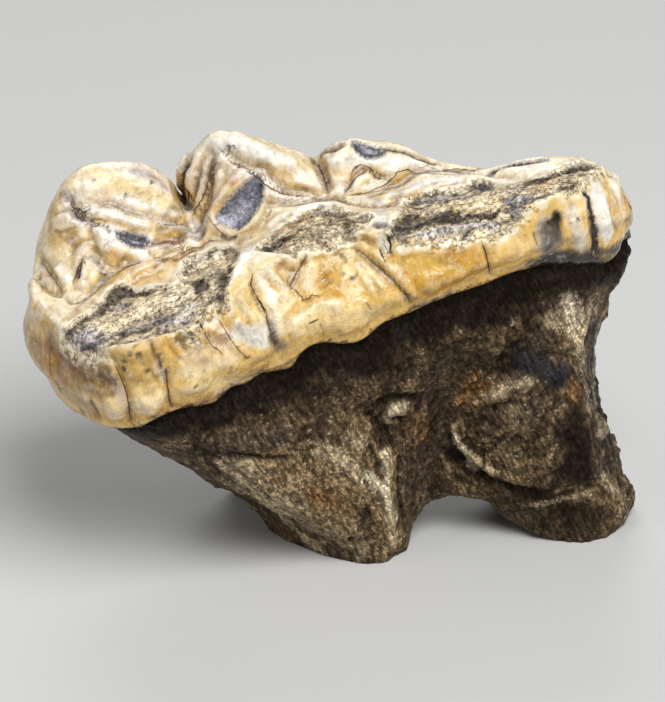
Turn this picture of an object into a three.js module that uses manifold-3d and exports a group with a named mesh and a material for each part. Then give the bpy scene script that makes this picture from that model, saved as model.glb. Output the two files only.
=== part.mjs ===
// Fossil cave bear tooth: a worn upper left second molar, grown as one piece.
// A broad enamel crown, ground down hard along its tongue side, sits on a trunk of fused roots that
// parts into short tips. Millimetres. +X runs along the crown from its broad front end to its narrow
// rear end, +Y points to the cheek side, +Z is up. The origin is on the ground under the middle of the
// tooth, which stands on its root tips.
import * as THREE from "three";
import { mergeVertices } from "three/addons/utils/BufferGeometryUtils.js";
import Module from "manifold-3d";

// Crown. Along it: s, from the front end (-) to the rear end (+). Across it: t, from the tongue side (-)
// to the cheek side (+). Up from the middle of the neck: h.
const CROWN_HALF_LENGTH = 22.4;
const NECK_HEIGHT = 21; // height of the neck above the ground, under the middle of the crown
const CROWN_TILT = 13; // degrees, rear end up
const CROWN_ROLL = 8; // degrees, biting surface turned towards the tongue side
const CORNER_FILL = 0.85; // 1 makes the outline of the crown an ellipse, 0 makes it a box
const NECK_INSET = 0.9; // the wall draws in by this much at the neck
const SWELL_LEVEL = 0.45; // share of the wall's height where it reaches its widest
const LEAN_LEVEL = 0.35; // share of the wall's height where it starts to lean in
const CHEEK_LEAN = 2.2;
const END_LEAN = 1.6;
const REAR_TRIM = 0.6; // the rear end stops this much short of the half length

const HALF_WIDTH = [[-22.4, 13.2], [-16.9, 13.4], [-8, 10.8], [0, 9.4], [8, 8.2], [16.9, 7.4], [22.4, 7]];
const MID_LINE = [[-22.4, -0.6], [-16.9, -0.9], [-8, -0.2], [0, -0.4], [8, -1.4], [16.9, -2.6], [22.4, -2.2]];
// How far the tongue side leans in from its widest line to the rim of the biting surface.
const TONGUE_LEAN = [
  [-22.4, 0.8], [-14, 0.5], [-9, 1.6], [-4, 3.6], [1, 3.8], [5, 1.8], [12, 1], [18, 1], [22.4, 1.4],
];
// The neck arches up along the tongue side and lies lower on the cheek side, most of all at the rear.
const NECK_LINE = [
  [-22.4, -1.4], [-16, -1], [-8, -0.5], [2, 0.2], [10, 0.9], [15, 0.7], [18.5, -0.3], [22.4, -2.8],
];
const CHEEK_NECK_DROP = [[-22.4, 0.4], [-10, 0.8], [2, 1.8], [12, 3.4], [18, 2.6], [22.4, 1.2]];

// Heights of the biting surface along five lines that run the length of the crown.
const TONGUE_RIM = [
  [-22.4, 5.8], [-18, 6.4], [-12, 6.8], [-8, 7], [-2, 7.2], [6, 6.6], [14, 6.4], [19, 5.6], [20.8, 4.4],
  [22.4, 3],
];
const WORN_FLOOR = [
  [-22.4, 6.4], [-18, 6.2], [-10, 6.6], [-5, 7], [2, 6.8], [8, 6.4], [15, 6.2], [19, 5.6], [20.8, 4.3],
  [22.4, 3],
];
const VALLEY = [
  [-22.4, 7], [-18, 6], [-12, 6], [-8, 5.4], [-3, 6.4], [3, 5.8], [8, 5], [15, 4.8], [19, 4.3],
  [20.8, 3.2], [22.4, 2],
];
// Three cusps stand on the cheek side, with a deep notch between the first two and a low ridge behind.
const CUSP_CREST = [
  [-22.4, 5.2], [-20.6, 5.6], [-19.4, 7.2], [-17.8, 9.9], [-16, 11.6], [-14.4, 11.9], [-12.6, 11.5],
  [-10.6, 10.7], [-9.3, 9], [-8.7, 5.4], [-8.3, 7], [-7.8, 9.8], [-6.7, 11], [-5.3, 11.9],
  [-3.7, 11.2], [-1.8, 9.9], [0.3, 8.4], [0.9, 7.3], [1.5, 8.1], [2.9, 8.8], [5, 8.3], [6.8, 7.6],
  [8.4, 6.2], [10, 5], [12.4, 4.3], [15.8, 4.5], [18.4, 3.9], [20.5, 2.4], [22.4, 1],
];
const CHEEK_RIM = [[-22.4, 4.4], [-15, 6], [-8, 5], [-3, 5.6], [4, 4.4], [12, 2.4], [22.4, 0.8]];
// Where those five lines lie across the crown: 0 is the tongue rim and 1 is the cheek rim.
const LINE_SHARES = [0, 0.22, 0.46, 0.74, 1];

// Roots: one trunk drawn down from the neck to a smaller, crooked footprint on the ground, so that the
// front leans back under the crown. Two hollows under it leave three short tips standing.
const NECK_STEP = 1.2; // the root starts this far inside the widest line of the enamel
const ROOT_IN_CROWN = 1.8; // how far the trunk runs up inside the crown
const FOOT_FRONT = -6.2;
const FOOT_REAR = 21.9;
const FOOT_SKEW = 5.6; // the front edge of the footprint runs back towards the cheek side
const FOOT_EASE = 0.35; // how much the sides of the trunk ease in at the neck and at the foot
const FOOT_TONGUE = [
  [-8, -5], [-3, -6.6], [-0.4, -7.6], [4, -6.4], [9, -5], [14, -5.8], [18, -7], [20.5, -7.2],
  [22.4, -5.4],
];
const FOOT_CHEEK = [[-8, 9], [-3, 8.6], [3, 4.6], [9, 3.2], [15, 4], [22, 2.4]];
const TIP_ROUNDING = 2.6; // the outer edge of the footprint lifts by this much, so the tips are round
const TIP_DEPTH = 1.6; // the tips are drawn this far below the ground, then cut flat by it
// How far the rear edge of the trunk stands out or in, from the foot (0) up to the neck (1).
const REAR_EDGE = [
  [0, 0.4], [0.2, -1], [0.45, -2.5], [0.62, -2.6], [0.76, -1.4], [0.88, 0.5], [1, 0.5],
];
// The hollow between the front and rear roots is steep in front and slopes away behind.
const ARCH = [
  [2.8, 0], [4.4, 0.6], [5.3, 3], [6.6, 4.3], [8.6, 4.7], [10.4, 4.4], [12.4, 2.9], [14.6, 1.2],
  [17, 0.3], [20, 0],
];
const FRONT_HOLLOW = { x: -7, y: 4, reach: 4, rise: 5.6, stretch: 0.6 }; // between the two front tips
const FURROW = { topX: 7.6, topZ: 15, footX: 6.4, footZ: 2, reach: 4.4, depth: 1.6, run: 4 };

// Fineness of the blocks that the two bodies are shaped from: along, across, up.
const CROWN_STEPS = [44, 22, 7];
const ROOT_STEPS = [44, 18, 12];

const wasm = await Module();
wasm.setup();

// A smooth curve through [place, value] pairs, read at any place along it.
function valueAt(pairs, place) {
  const spline = new THREE.SplineCurve(pairs.map(([x, y]) => new THREE.Vector2(x, y)));
  const last = pairs.length - 1;
  let span = 0;
  while (span < last - 1 && place > pairs[span + 1][0]) span += 1;
  const [from, to] = [pairs[span][0], pairs[span + 1][0]];
  const share = THREE.MathUtils.clamp((place - from) / (to - from), 0, 1);
  return spline.getPoint((span + share) / last).y;
}

// A bump that is 1 at distance 0 and fades to 0 at its reach.
function bump(distance, reach) {
  const share = Math.min(Math.abs(distance) / reach, 1);
  return Math.cos(share * (Math.PI / 2)) ** 2;
}

// A block's square outline, pulled in at its corners.
function roundedPlan(a, b) {
  return [
    a * Math.sqrt(1 - (CORNER_FILL * b * b) / 2),
    b * Math.sqrt(1 - (CORNER_FILL * a * a) / 2),
  ];
}

// across runs from -1 at the tongue side to 1 at the cheek side.
function neckHeight(s, across) {
  return valueAt(NECK_LINE, s) - (valueAt(CHEEK_NECK_DROP, s) * (across + 1)) / 2;
}

function bitingHeight(s, share) {
  const heights = [TONGUE_RIM, WORN_FLOOR, VALLEY, CUSP_CREST, CHEEK_RIM].map((line) => valueAt(line, s));
  return valueAt(heights.map((height, i) => [LINE_SHARES[i], height]), share);
}

// Turns a point of the crown's own frame into the standing tooth's frame.
function stand(point) {
  point.applyAxisAngle(new THREE.Vector3(1, 0, 0), THREE.MathUtils.degToRad(CROWN_ROLL));
  point.applyAxisAngle(new THREE.Vector3(0, 1, 0), -THREE.MathUtils.degToRad(CROWN_TILT));
  point.z += NECK_HEIGHT;
  return point;
}

// Shapes a block of side 2: place() gets a, b from -1 to 1 and level from 0 at the foot to 1 at the top.
function shapeBlock(steps, place) {
  const block = new THREE.BoxGeometry(2, 2, 2, ...steps);
  const at = block.attributes.position;
  for (let i = 0; i < at.count; i += 1) {
    const point = place(at.getX(i), at.getY(i), (at.getZ(i) + 1) / 2);
    at.setXYZ(i, point.x, point.y, point.z);
  }
  return solidOf(block);
}

function solidOf(geometry) {
  geometry.deleteAttribute("normal");
  geometry.deleteAttribute("uv");
  const closed = mergeVertices(geometry, 1e-4);
  return new wasm.Manifold(
    new wasm.Mesh({
      numProp: 3,
      vertProperties: closed.attributes.position.array,
      triVerts: new Uint32Array(closed.index.array),
    }),
  );
}

function geometryOf(solid) {
  const made = solid.getMesh();
  const geometry = new THREE.BufferGeometry();
  geometry.setAttribute("position", new THREE.BufferAttribute(new Float32Array(made.vertProperties), 3));
  geometry.setIndex(new THREE.BufferAttribute(new Uint32Array(made.triVerts), 1));
  geometry.computeVertexNormals();
  geometry.computeBoundingBox();
  return geometry;
}

// The crown: the wall swells out above the neck, then leans in to the rim of the biting surface.
function crownPoint(a, b, level) {
  const [alongUnit, acrossUnit] = roundedPlan(a, b);
  const swell = NECK_INSET * Math.cos(Math.min(level / SWELL_LEVEL, 1) * (Math.PI / 2));
  const lean = THREE.MathUtils.smoothstep(level, LEAN_LEVEL, 1) ** 1.2;
  const s =
    alongUnit * (CROWN_HALF_LENGTH - swell - END_LEAN * lean) - REAR_TRIM * Math.max(alongUnit, 0) ** 4;
  const cheekShare = (b + 1) / 2;
  const tongueHalf = valueAt(HALF_WIDTH, s) - swell - valueAt(TONGUE_LEAN, s) * lean;
  const cheekHalf = valueAt(HALF_WIDTH, s) - swell - CHEEK_LEAN * lean;
  const t = valueAt(MID_LINE, s) + acrossUnit * THREE.MathUtils.lerp(tongueHalf, cheekHalf, cheekShare);
  const h = THREE.MathUtils.lerp(neckHeight(s, b), bitingHeight(s, cheekShare), level);
  return stand(new THREE.Vector3(s, t, h));
}

function footHeight(x, y) {
  const arch = valueAt(ARCH, x);
  const away = Math.hypot((x - FRONT_HOLLOW.x) * FRONT_HOLLOW.stretch, y - FRONT_HOLLOW.y);
  return Math.max(arch, FRONT_HOLLOW.rise * bump(away, FRONT_HOLLOW.reach)) - TIP_DEPTH;
}

// A shallow furrow down the tongue side marks where the front and rear roots have grown together.
function furrowDepth(x, y, z, down) {
  const climb = THREE.MathUtils.clamp((z - FURROW.footZ) / (FURROW.topZ - FURROW.footZ), 0, 1);
  const centre = THREE.MathUtils.lerp(FURROW.footX, FURROW.topX, climb);
  const fade = THREE.MathUtils.smoothstep(down, 0.15, 0.5);
  const side = THREE.MathUtils.clamp(-y / FURROW.run, 0, 1);
  return FURROW.depth * fade * side * bump(x - centre, FURROW.reach);
}

function rootPoint(a, b, level) {
  const [alongUnit, acrossUnit] = roundedPlan(a, b);
  const s = alongUnit * (CROWN_HALF_LENGTH - NECK_STEP);
  const t = valueAt(MID_LINE, s) + acrossUnit * (valueAt(HALF_WIDTH, s) - NECK_STEP);
  const neck = stand(new THREE.Vector3(s, t, neckHeight(s, b) + ROOT_IN_CROWN));
  const run = (alongUnit + 1) / 2;
  const footX = THREE.MathUtils.lerp(FOOT_FRONT, FOOT_REAR, run) - FOOT_SKEW * acrossUnit * (1 - run);
  const footY = THREE.MathUtils.lerp(
    valueAt(FOOT_TONGUE, footX),
    valueAt(FOOT_CHEEK, footX),
    (acrossUnit + 1) / 2,
  );
  const edge = Math.max(Math.abs(a), Math.abs(b));
  const footZ = footHeight(footX, footY) + TIP_ROUNDING * edge ** 8;
  const down = 1 - level;
  const draw = THREE.MathUtils.lerp(down, THREE.MathUtils.smoothstep(down, 0, 1), FOOT_EASE);
  const x = THREE.MathUtils.lerp(neck.x, footX, draw) + valueAt(REAR_EDGE, level) * run ** 6;
  const y = THREE.MathUtils.lerp(neck.y, footY, draw);
  const z = THREE.MathUtils.lerp(neck.z, footZ, down);
  return new THREE.Vector3(x, y + furrowDepth(x, y, z, down), z);
}

const aboveGround = new THREE.BoxGeometry(80, 60, 60);
aboveGround.translate(0, 0, 30);
const crown = shapeBlock(CROWN_STEPS, crownPoint);
const roots = shapeBlock(ROOT_STEPS, rootPoint);
const tooth = crown.add(roots).intersect(solidOf(aboveGround));

const fossil = new THREE.MeshStandardMaterial({ color: 0xcdb27a, roughness: 0.35, metalness: 0 });
const molar = new THREE.Mesh(geometryOf(tooth), fossil);
molar.name = "cave_bear_molar";
const middle = molar.geometry.boundingBox.getCenter(new THREE.Vector3());
molar.position.set(-middle.x, -middle.y, 0);

const group = new THREE.Group();
group.add(molar);
export default group;
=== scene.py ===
import math

import bpy
import numpy as np
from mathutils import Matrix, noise


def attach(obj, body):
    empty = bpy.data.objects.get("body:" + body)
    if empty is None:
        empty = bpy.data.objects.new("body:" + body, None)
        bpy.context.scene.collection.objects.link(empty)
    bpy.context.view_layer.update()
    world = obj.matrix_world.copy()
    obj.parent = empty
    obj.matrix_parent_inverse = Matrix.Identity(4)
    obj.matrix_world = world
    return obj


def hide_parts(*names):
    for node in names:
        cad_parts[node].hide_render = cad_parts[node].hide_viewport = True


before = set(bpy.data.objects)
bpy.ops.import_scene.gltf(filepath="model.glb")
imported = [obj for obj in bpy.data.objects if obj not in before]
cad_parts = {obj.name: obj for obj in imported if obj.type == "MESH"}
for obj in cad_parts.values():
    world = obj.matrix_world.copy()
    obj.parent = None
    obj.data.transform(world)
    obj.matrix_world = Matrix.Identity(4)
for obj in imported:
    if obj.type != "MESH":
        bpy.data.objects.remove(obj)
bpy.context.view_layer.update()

scene = bpy.context.scene
bpy.ops.object.select_all(action="DESELECT")

# --- The crown -------------------------------------------------------------------------------------
# The enamel cap of the tooth, swollen above the neck and ground down along the tongue side. It is
# shaped in millimetres in its own frame: s along it from front (-) to rear (+), t across it from the
# tongue side (-) to the cheek side (+), and h up from the neck.

CROWN_HALF_LENGTH = 22.4
CORNER_FILL = 0.85
NECK_INSET = 0.9
CHEEK_LEAN = 2.2
END_LEAN = 1.6
REAR_TRIM = 0.6
HALF_WIDTH = ((-22.4, 13.2), (-16.9, 13.4), (-8, 10.8), (0, 9.4), (8, 8.2), (16.9, 7.4), (22.4, 7))
MID_LINE = ((-22.4, -0.6), (-16.9, -0.9), (-8, -0.2), (0, -0.4), (8, -1.4), (16.9, -2.6), (22.4, -2.2))
TONGUE_LEAN = ((-22.4, 0.8), (-14, 0.5), (-9, 1.6), (-4, 3.6), (1, 3.8), (5, 1.8), (12, 1), (18, 1),
               (22.4, 1.4))
NECK_LINE = ((-22.4, -1.4), (-16, -1), (-8, -0.5), (2, 0.2), (10, 0.9), (15, 0.7), (18.5, -0.3),
             (22.4, -2.8))
CHEEK_NECK_DROP = ((-22.4, 0.4), (-10, 0.8), (2, 1.8), (12, 3.4), (18, 2.6), (22.4, 1.2))
TONGUE_RIM = ((-22.4, 5.8), (-18, 6.4), (-12, 6.8), (-8, 7), (-2, 7.2), (6, 6.6), (14, 6.4), (19, 5.6),
              (20.8, 4.4), (22.4, 3))
WORN_FLOOR = ((-22.4, 6.4), (-18, 6.2), (-10, 6.6), (-5, 7), (2, 6.8), (8, 6.4), (15, 6.2), (19, 5.6),
              (20.8, 4.3), (22.4, 3))
VALLEY = ((-22.4, 7), (-18, 6), (-12, 6), (-8, 5.4), (-3, 6.4), (3, 5.8), (8, 5), (15, 4.8), (19, 4.3),
          (20.8, 3.2), (22.4, 2))
CUSP_CREST = ((-22.4, 5.2), (-20.6, 5.6), (-19.4, 7.2), (-17.8, 9.9), (-16, 11.6), (-14.4, 11.9),
              (-12.6, 11.5), (-10.6, 10.7), (-9.3, 9), (-8.7, 5.4), (-8.3, 7), (-7.8, 9.8),
              (-6.7, 11), (-5.3, 11.9), (-3.7, 11.2), (-1.8, 9.9), (0.3, 8.4), (0.9, 7.3),
              (1.5, 8.1), (2.9, 8.8), (5, 8.3), (6.8, 7.6), (8.4, 6.2), (10, 5), (12.4, 4.3),
              (15.8, 4.5), (18.4, 3.9), (20.5, 2.4), (22.4, 1))
CHEEK_RIM = ((-22.4, 4.4), (-15, 6), (-8, 5), (-3, 5.6), (4, 4.4), (12, 2.4), (22.4, 0.8))
LINE_SHARES = (0, 0.22, 0.46, 0.74, 1)
BLOCK_CUTS = 71


def spline(places, values, at):
    """A smooth curve through values at places, read at many places. A value may be a whole array."""
    places = np.array(places, float)
    last = len(places) - 1
    span = np.clip(np.searchsorted(places, at) - 1, 0, last - 1)
    share = np.clip((at - places[span]) / (places[span + 1] - places[span]), 0, 1)
    table = np.stack([np.broadcast_to(np.asarray(v, float), at.shape) for v in values])
    spot = np.arange(at.size)
    a, b = table[np.maximum(span - 1, 0), spot], table[span, spot]
    c, d = table[span + 1, spot], table[np.minimum(span + 2, last), spot]
    lead, trail = (c - a) / 2, (d - b) / 2
    bend = (2 * b - 2 * c + lead + trail) * share + 3 * c - 3 * b - 2 * lead - trail
    return (bend * share + lead) * share + b


def along(line, at):
    return spline([p[0] for p in line], [p[1] for p in line], at)


def mix(a, b, share):
    return a + (b - a) * share


def smooth(value, low, high):
    share = np.clip((value - low) / (high - low), 0, 1)
    return share * share * (3 - 2 * share)


def rounded_plan(a, b):
    return a * np.sqrt(1 - CORNER_FILL * b * b / 2), b * np.sqrt(1 - CORNER_FILL * a * a / 2)


def neck_height(s, across):
    return along(NECK_LINE, s) - along(CHEEK_NECK_DROP, s) * (across + 1) / 2


def shape_crown(a, b, level):
    run, side = rounded_plan(a, b)
    swell = NECK_INSET * np.cos(np.minimum(level / 0.45, 1) * math.pi / 2)
    lean = smooth(level, 0.35, 1) ** 1.2
    s = run * (CROWN_HALF_LENGTH - swell - END_LEAN * lean) - REAR_TRIM * np.maximum(run, 0) ** 4
    cheek = (b + 1) / 2
    half = along(HALF_WIDTH, s) - swell
    half = mix(half - along(TONGUE_LEAN, s) * lean, half - CHEEK_LEAN * lean, cheek)
    lines = [along(line, s) for line in (TONGUE_RIM, WORN_FLOOR, VALLEY, CUSP_CREST, CHEEK_RIM)]
    top = spline(LINE_SHARES, lines, cheek)
    return np.stack([s, along(MID_LINE, s) + side * half, mix(neck_height(s, b), top, level)], 1)


def block_to(name, cuts, shape):
    """A cube of side 2, cut up evenly in edit mode, with every point then moved to its shaped place."""
    bpy.ops.mesh.primitive_cube_add(size=2)
    piece = bpy.context.object
    piece.name = piece.data.name = name
    bpy.ops.object.mode_set(mode="EDIT")
    bpy.ops.mesh.select_all(action="SELECT")
    bpy.ops.mesh.subdivide(number_cuts=cuts)
    bpy.ops.object.mode_set(mode="OBJECT")
    at = points_of(piece)
    put_points(piece, shape(at[:, 0], at[:, 1], (at[:, 2] + 1) / 2))
    return piece


def points_of(piece):
    flat = np.empty(len(piece.data.vertices) * 3)
    piece.data.vertices.foreach_get("co", flat)
    return flat.reshape(-1, 3)


def put_points(piece, at):
    piece.data.vertices.foreach_set("co", np.ascontiguousarray(at).ravel())
    piece.data.update()


crown = block_to("cave_bear_tooth", BLOCK_CUTS, shape_crown)

# --- The roots -------------------------------------------------------------------------------------
# Three roots grown together into one trunk, which draws down from the neck to a smaller footprint set
# back under the crown. Two hollows under it leave short tips, and the tooth stands on those.

CROWN_TILT = math.radians(13)
CROWN_ROLL = math.radians(8)
NECK_OVER_GROUND = 21.0
MIDDLE = (-0.05, 0.945)
NECK_STEP = 1.2
ROOT_IN_CROWN = 1.8
FOOT_FRONT, FOOT_REAR, FOOT_SKEW, FOOT_EASE = -6.2, 21.9, 5.6, 0.35
FOOT_TONGUE = ((-8, -5), (-3, -6.6), (-0.4, -7.6), (4, -6.4), (9, -5), (14, -5.8), (18, -7), (20.5, -7.2),
               (22.4, -5.4))
REAR_EDGE = ((0, 0.4), (0.2, -1), (0.45, -2.5), (0.62, -2.6), (0.76, -1.4), (0.88, 0.5), (1, 0.5))
FOOT_CHEEK = ((-8, 9), (-3, 8.6), (3, 4.6), (9, 3.2), (15, 4), (22, 2.4))
TIP_ROUNDING, TIP_DEPTH = 2.6, 1.6
ARCH = ((2.8, 0), (4.4, 0.6), (5.3, 3), (6.6, 4.3), (8.6, 4.7), (10.4, 4.4), (12.4, 2.9), (14.6, 1.2),
        (17, 0.3), (20, 0))
FRONT_HOLLOW, FRONT_HOLLOW_HEIGHT, FRONT_HOLLOW_REACH = (-7, 4), 5.6, 4
FURROW_FOOT, FURROW_NECK, FURROW_DEPTH, FURROW_REACH = 6.4, 7.6, 1.6, 4.4

tilt_axis = np.array([math.cos(CROWN_TILT), 0, math.sin(CROWN_TILT)])
cross_axis = np.array([-math.sin(CROWN_TILT) * math.sin(CROWN_ROLL), math.cos(CROWN_ROLL),
                       math.cos(CROWN_TILT) * math.sin(CROWN_ROLL)])
crown_axes = np.stack([tilt_axis, cross_axis, np.cross(tilt_axis, cross_axis)])


def stand(at):
    """From the crown's own frame to the tooth standing on its root tips."""
    return at @ crown_axes + (0, 0, NECK_OVER_GROUND)


def lie(at):
    """From the standing tooth back to the crown's own frame."""
    return (at - (0, 0, NECK_OVER_GROUND)) @ crown_axes.T


def bump(distance, reach):
    return np.cos(np.minimum(np.abs(distance) / reach, 1) * math.pi / 2) ** 2


def shape_roots(a, b, level):
    run, side = rounded_plan(a, b)
    s = run * (CROWN_HALF_LENGTH - NECK_STEP)
    t = along(MID_LINE, s) + side * (along(HALF_WIDTH, s) - NECK_STEP)
    neck = stand(np.stack([s, t, neck_height(s, b) + ROOT_IN_CROWN], 1))
    run = (run + 1) / 2
    foot_x = mix(FOOT_FRONT, FOOT_REAR, run) - FOOT_SKEW * side * (1 - run)
    foot_y = mix(along(FOOT_TONGUE, foot_x), along(FOOT_CHEEK, foot_x), (side + 1) / 2)
    off_hollow = np.hypot((foot_x - FRONT_HOLLOW[0]) * 0.6, foot_y - FRONT_HOLLOW[1])
    hollow = FRONT_HOLLOW_HEIGHT * bump(off_hollow, FRONT_HOLLOW_REACH)
    foot_z = np.maximum(along(ARCH, foot_x), hollow) - TIP_DEPTH
    foot_z += TIP_ROUNDING * np.maximum(np.abs(a), np.abs(b)) ** 8
    down = 1 - level
    draw = mix(down, smooth(down, 0, 1), FOOT_EASE)
    x = mix(neck[:, 0], foot_x, draw) + along(REAR_EDGE, level) * run ** 6
    y = mix(neck[:, 1], foot_y, draw)
    z = mix(neck[:, 2], foot_z, down)
    furrow = mix(FURROW_FOOT, FURROW_NECK, np.clip((z - 2) / 13, 0, 1))
    on_tongue = smooth(down, 0.15, 0.5) * np.clip(-y / 4, 0, 1)
    y += FURROW_DEPTH * on_tongue * bump(x - furrow, FURROW_REACH)
    return lie(np.stack([x, y, z], 1))


roots = block_to("roots", BLOCK_CUTS, shape_roots)

# --- One grown piece -------------------------------------------------------------------------------
# Crown and roots are one body in life, so the two shapes are fused into one skin, fine enough to carve.

SKIN_STEP = 0.228
SKIN_EASE, EASE_ROUNDS, NORMAL_ROUNDS = 0.5, 4, 3

bpy.ops.object.select_all(action="DESELECT")
roots.select_set(True)
crown.select_set(True)
bpy.context.view_layer.objects.active = crown
bpy.ops.object.join()
tooth = bpy.context.object
fuse = tooth.modifiers.new("fuse", "REMESH")
fuse.mode = "VOXEL"
fuse.voxel_size = SKIN_STEP
bpy.ops.object.modifier_apply(modifier=fuse.name)
ease = tooth.modifiers.new("ease", "SMOOTH")
ease.factor = SKIN_EASE
ease.iterations = EASE_ROUNDS
bpy.ops.object.modifier_apply(modifier=ease.name)

ends = np.empty(len(tooth.data.edges) * 2, np.int32)
tooth.data.edges.foreach_get("vertices", ends)
ends = ends.reshape(-1, 2)
links = np.bincount(ends.ravel(), minlength=len(tooth.data.vertices))[:, None]


def settled(values, rounds):
    """Values on the skin's points, each drawn towards its neighbours' mean a number of times."""
    for _ in range(rounds):
        total = [np.bincount(ends[:, 0], v[ends[:, 1]], len(v)) +
                 np.bincount(ends[:, 1], v[ends[:, 0]], len(v)) for v in values.T]
        values = (values + np.stack(total, 1) / links) / 2
    return values


def facing_of(piece):
    flat = np.empty(len(piece.data.vertices) * 3)
    piece.data.vertices.foreach_get("normal", flat)
    return settled(flat.reshape(-1, 3), NORMAL_ROUNDS)


skin = points_of(tooth)
facing = facing_of(tooth)
standing = stand(skin)
lift = np.zeros(len(skin))


def carved():
    """Moves the skin in or out by what has been asked for since the last time, and clears that."""
    global skin, facing, standing
    skin = skin + facing * lift[:, None]
    put_points(tooth, skin)
    facing = facing_of(tooth)
    standing = stand(skin)
    lift[:] = 0


def grain(size, octaves=3, stretch=(1, 1, 1), shift=0):
    """Lumps from about -1 to 1 over the whole skin, of the given size in mm."""
    spots = (skin / (np.array(stretch) * size) + shift).tolist()
    return np.array([noise.fractal(spot, 1.0, 2.0, octaves) for spot in spots])


# --- Folds of the biting surface -------------------------------------------------------------------
# Enamel folds into lobes with deep creases between them, most of all round the front dome and below
# the two pointed cusps. Each fold is a stroke: a path in mm along and across the crown, or in all
# three directions where the slope is steep, how far the stroke reaches, and how far it rises.

PATH_STEP = 0.12
SNAP_BLUR = 0.2
DROP_REACH, DROP_NEAR, DROP_BLUR = 0.6, 0.35, 0.15
CREASE_SHARPNESS = 1.4
STROKE_TAPER = (-0.05, 0.15)
# Which two directions a path is given in, which one it is dropped along, and from which end of it.
SIDES = {"biting": (0, 1, 2, 1), "tongue": (0, 2, 1, -1), "cheek": (0, 2, 1, 1), "front": (1, 2, 0, -1),
         "rear": (1, 2, 0, 1)}

SWELLINGS = (
    ("biting", (
        ([(-7.6, 4, 9.4), (-8.2, 5, 8), (-8.5, 5.8, 6.8)], 1.7, 0.75),
        ([(-20.3, 1), (-20.8, -1.2), (-21, -2.2), (-20.4, -3.6)], 0.9, 0.4),
        ([(-18.7, 0.4), (-18.4, -1)], 1, 0.35),
        ([(-17.4, 1.6), (-17.3, 2.4)], 1.4, 0.35),
        ([(-16.9, 0.2), (-17.4, -1.6)], 0.6, 0.35),
        ([(-14.9, 0.2), (-13.8, -0.4)], 0.9, 0.4),
        ([(-15.2, 1.5), (-14, 1.25), (-12.8, 0.9), (-11.6, 0.6)], 0.5, 0.35),
        ([(-18.4, -4.1), (-17, -2.9), (-15.4, -2.1), (-13.4, -1.5), (-10.6, -1)], 0.8, 0.35),
        ([(-4.6, 3), (-2.6, 2.2), (-0.6, 1.5)], 1, 0.45),
        ([(-0.9, 0.8), (0, 0.5), (0.8, 0.5)], 0.4, 0.2),
        ([(-6.6, 3.3, 10.7), (-7.2, 3.1, 9.4), (-7.9, 3, 8)], 0.55, 0.35),
        ([(-7, 0.95), (-5.8, 1.15), (-4.7, 1.35), (-4, 1.5)], 0.4, 0.25),
        ([(-7, 0.3), (-6.8, -0.2), (-6, -0.8), (-5, -1), (-4, -0.6), (-3.3, -0.1)], 0.5, 0.2),
        ([(1.8, 1.2), (3.2, 1.3)], 1, 0.3),
        ([(4.4, -1.2), (6, -1.2), (8.2, -0.8), (10.4, -0.9), (12, -1.5)], 0.5, 0.35),
        ([(-3.8, -1.1), (-2, -0.75), (0.2, -0.7), (1.8, -1.4)], 0.4, 0.25),
    )),
    ("tongue", (
        ([(-17.8, 3), (-17.9, 0.8)], 1.1, 0.5),
        ([(-15.5, 2.9), (-15.5, 1)], 1.2, 0.4),
        ([(-12.6, 3.2), (-11.4, 1.6)], 1.4, 0.35),
        ([(-9.6, 2.2), (-8.2, 1.4)], 1.2, 0.25),
        ([(-13.2, 6.7), (-12.6, 5.5), (-12.2, 4.6)], 0.35, 0.25),
        ([(-12.3, 6.7), (-11.6, 5.6), (-11.2, 4.6)], 0.35, 0.28),
        ([(-10.5, 6), (-10.3, 5.1), (-10.2, 4.2)], 0.4, 0.25),
        ([(-9.6, 5.4), (-9, 4.7), (-8.7, 3.9), (-8.1, 2.8)], 0.4, 0.28),
        ([(-7.9, 5.2), (-7.8, 4.5), (-7.2, 3.6)], 0.4, 0.25),
        ([(-7.4, 6.6), (-7.2, 5.6), (-6.9, 4.6)], 0.5, 0.25),
        ([(-5.1, 7), (-4.7, 6.2), (-4.3, 5.5)], 0.5, 0.35),
        ([(-5, 3.5), (-3.4, 4), (-2.2, 4.2), (-0.6, 3.7)], 1.2, 0.45),
        ([(-1.4, 2), (0.6, 1.8)], 1.1, 0.25),
        ([(0.2, 6.2), (0.7, 5.5), (1.2, 4.7), (1.5, 3.6)], 0.3, 0.14),
        ([(0.8, 6.1), (1.5, 5.3), (2, 4.4), (2.4, 3.2)], 0.3, 0.14),
        ([(2.3, 5.8), (3.1, 4.8), (3.8, 3.6), (4.3, 2.4)], 0.4, 0.25),
        ([(5, 3), (8, 3.4)], 1.6, 0.25),
        ([(11.6, 3.2), (11.8, 2)], 1.2, 0.2),
        ([(16.4, 4.2), (16.5, 0.6)], 0.9, 0.25),
        ([(18.8, 4), (18.9, 0)], 0.9, 0.25),
    )),
)
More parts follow.
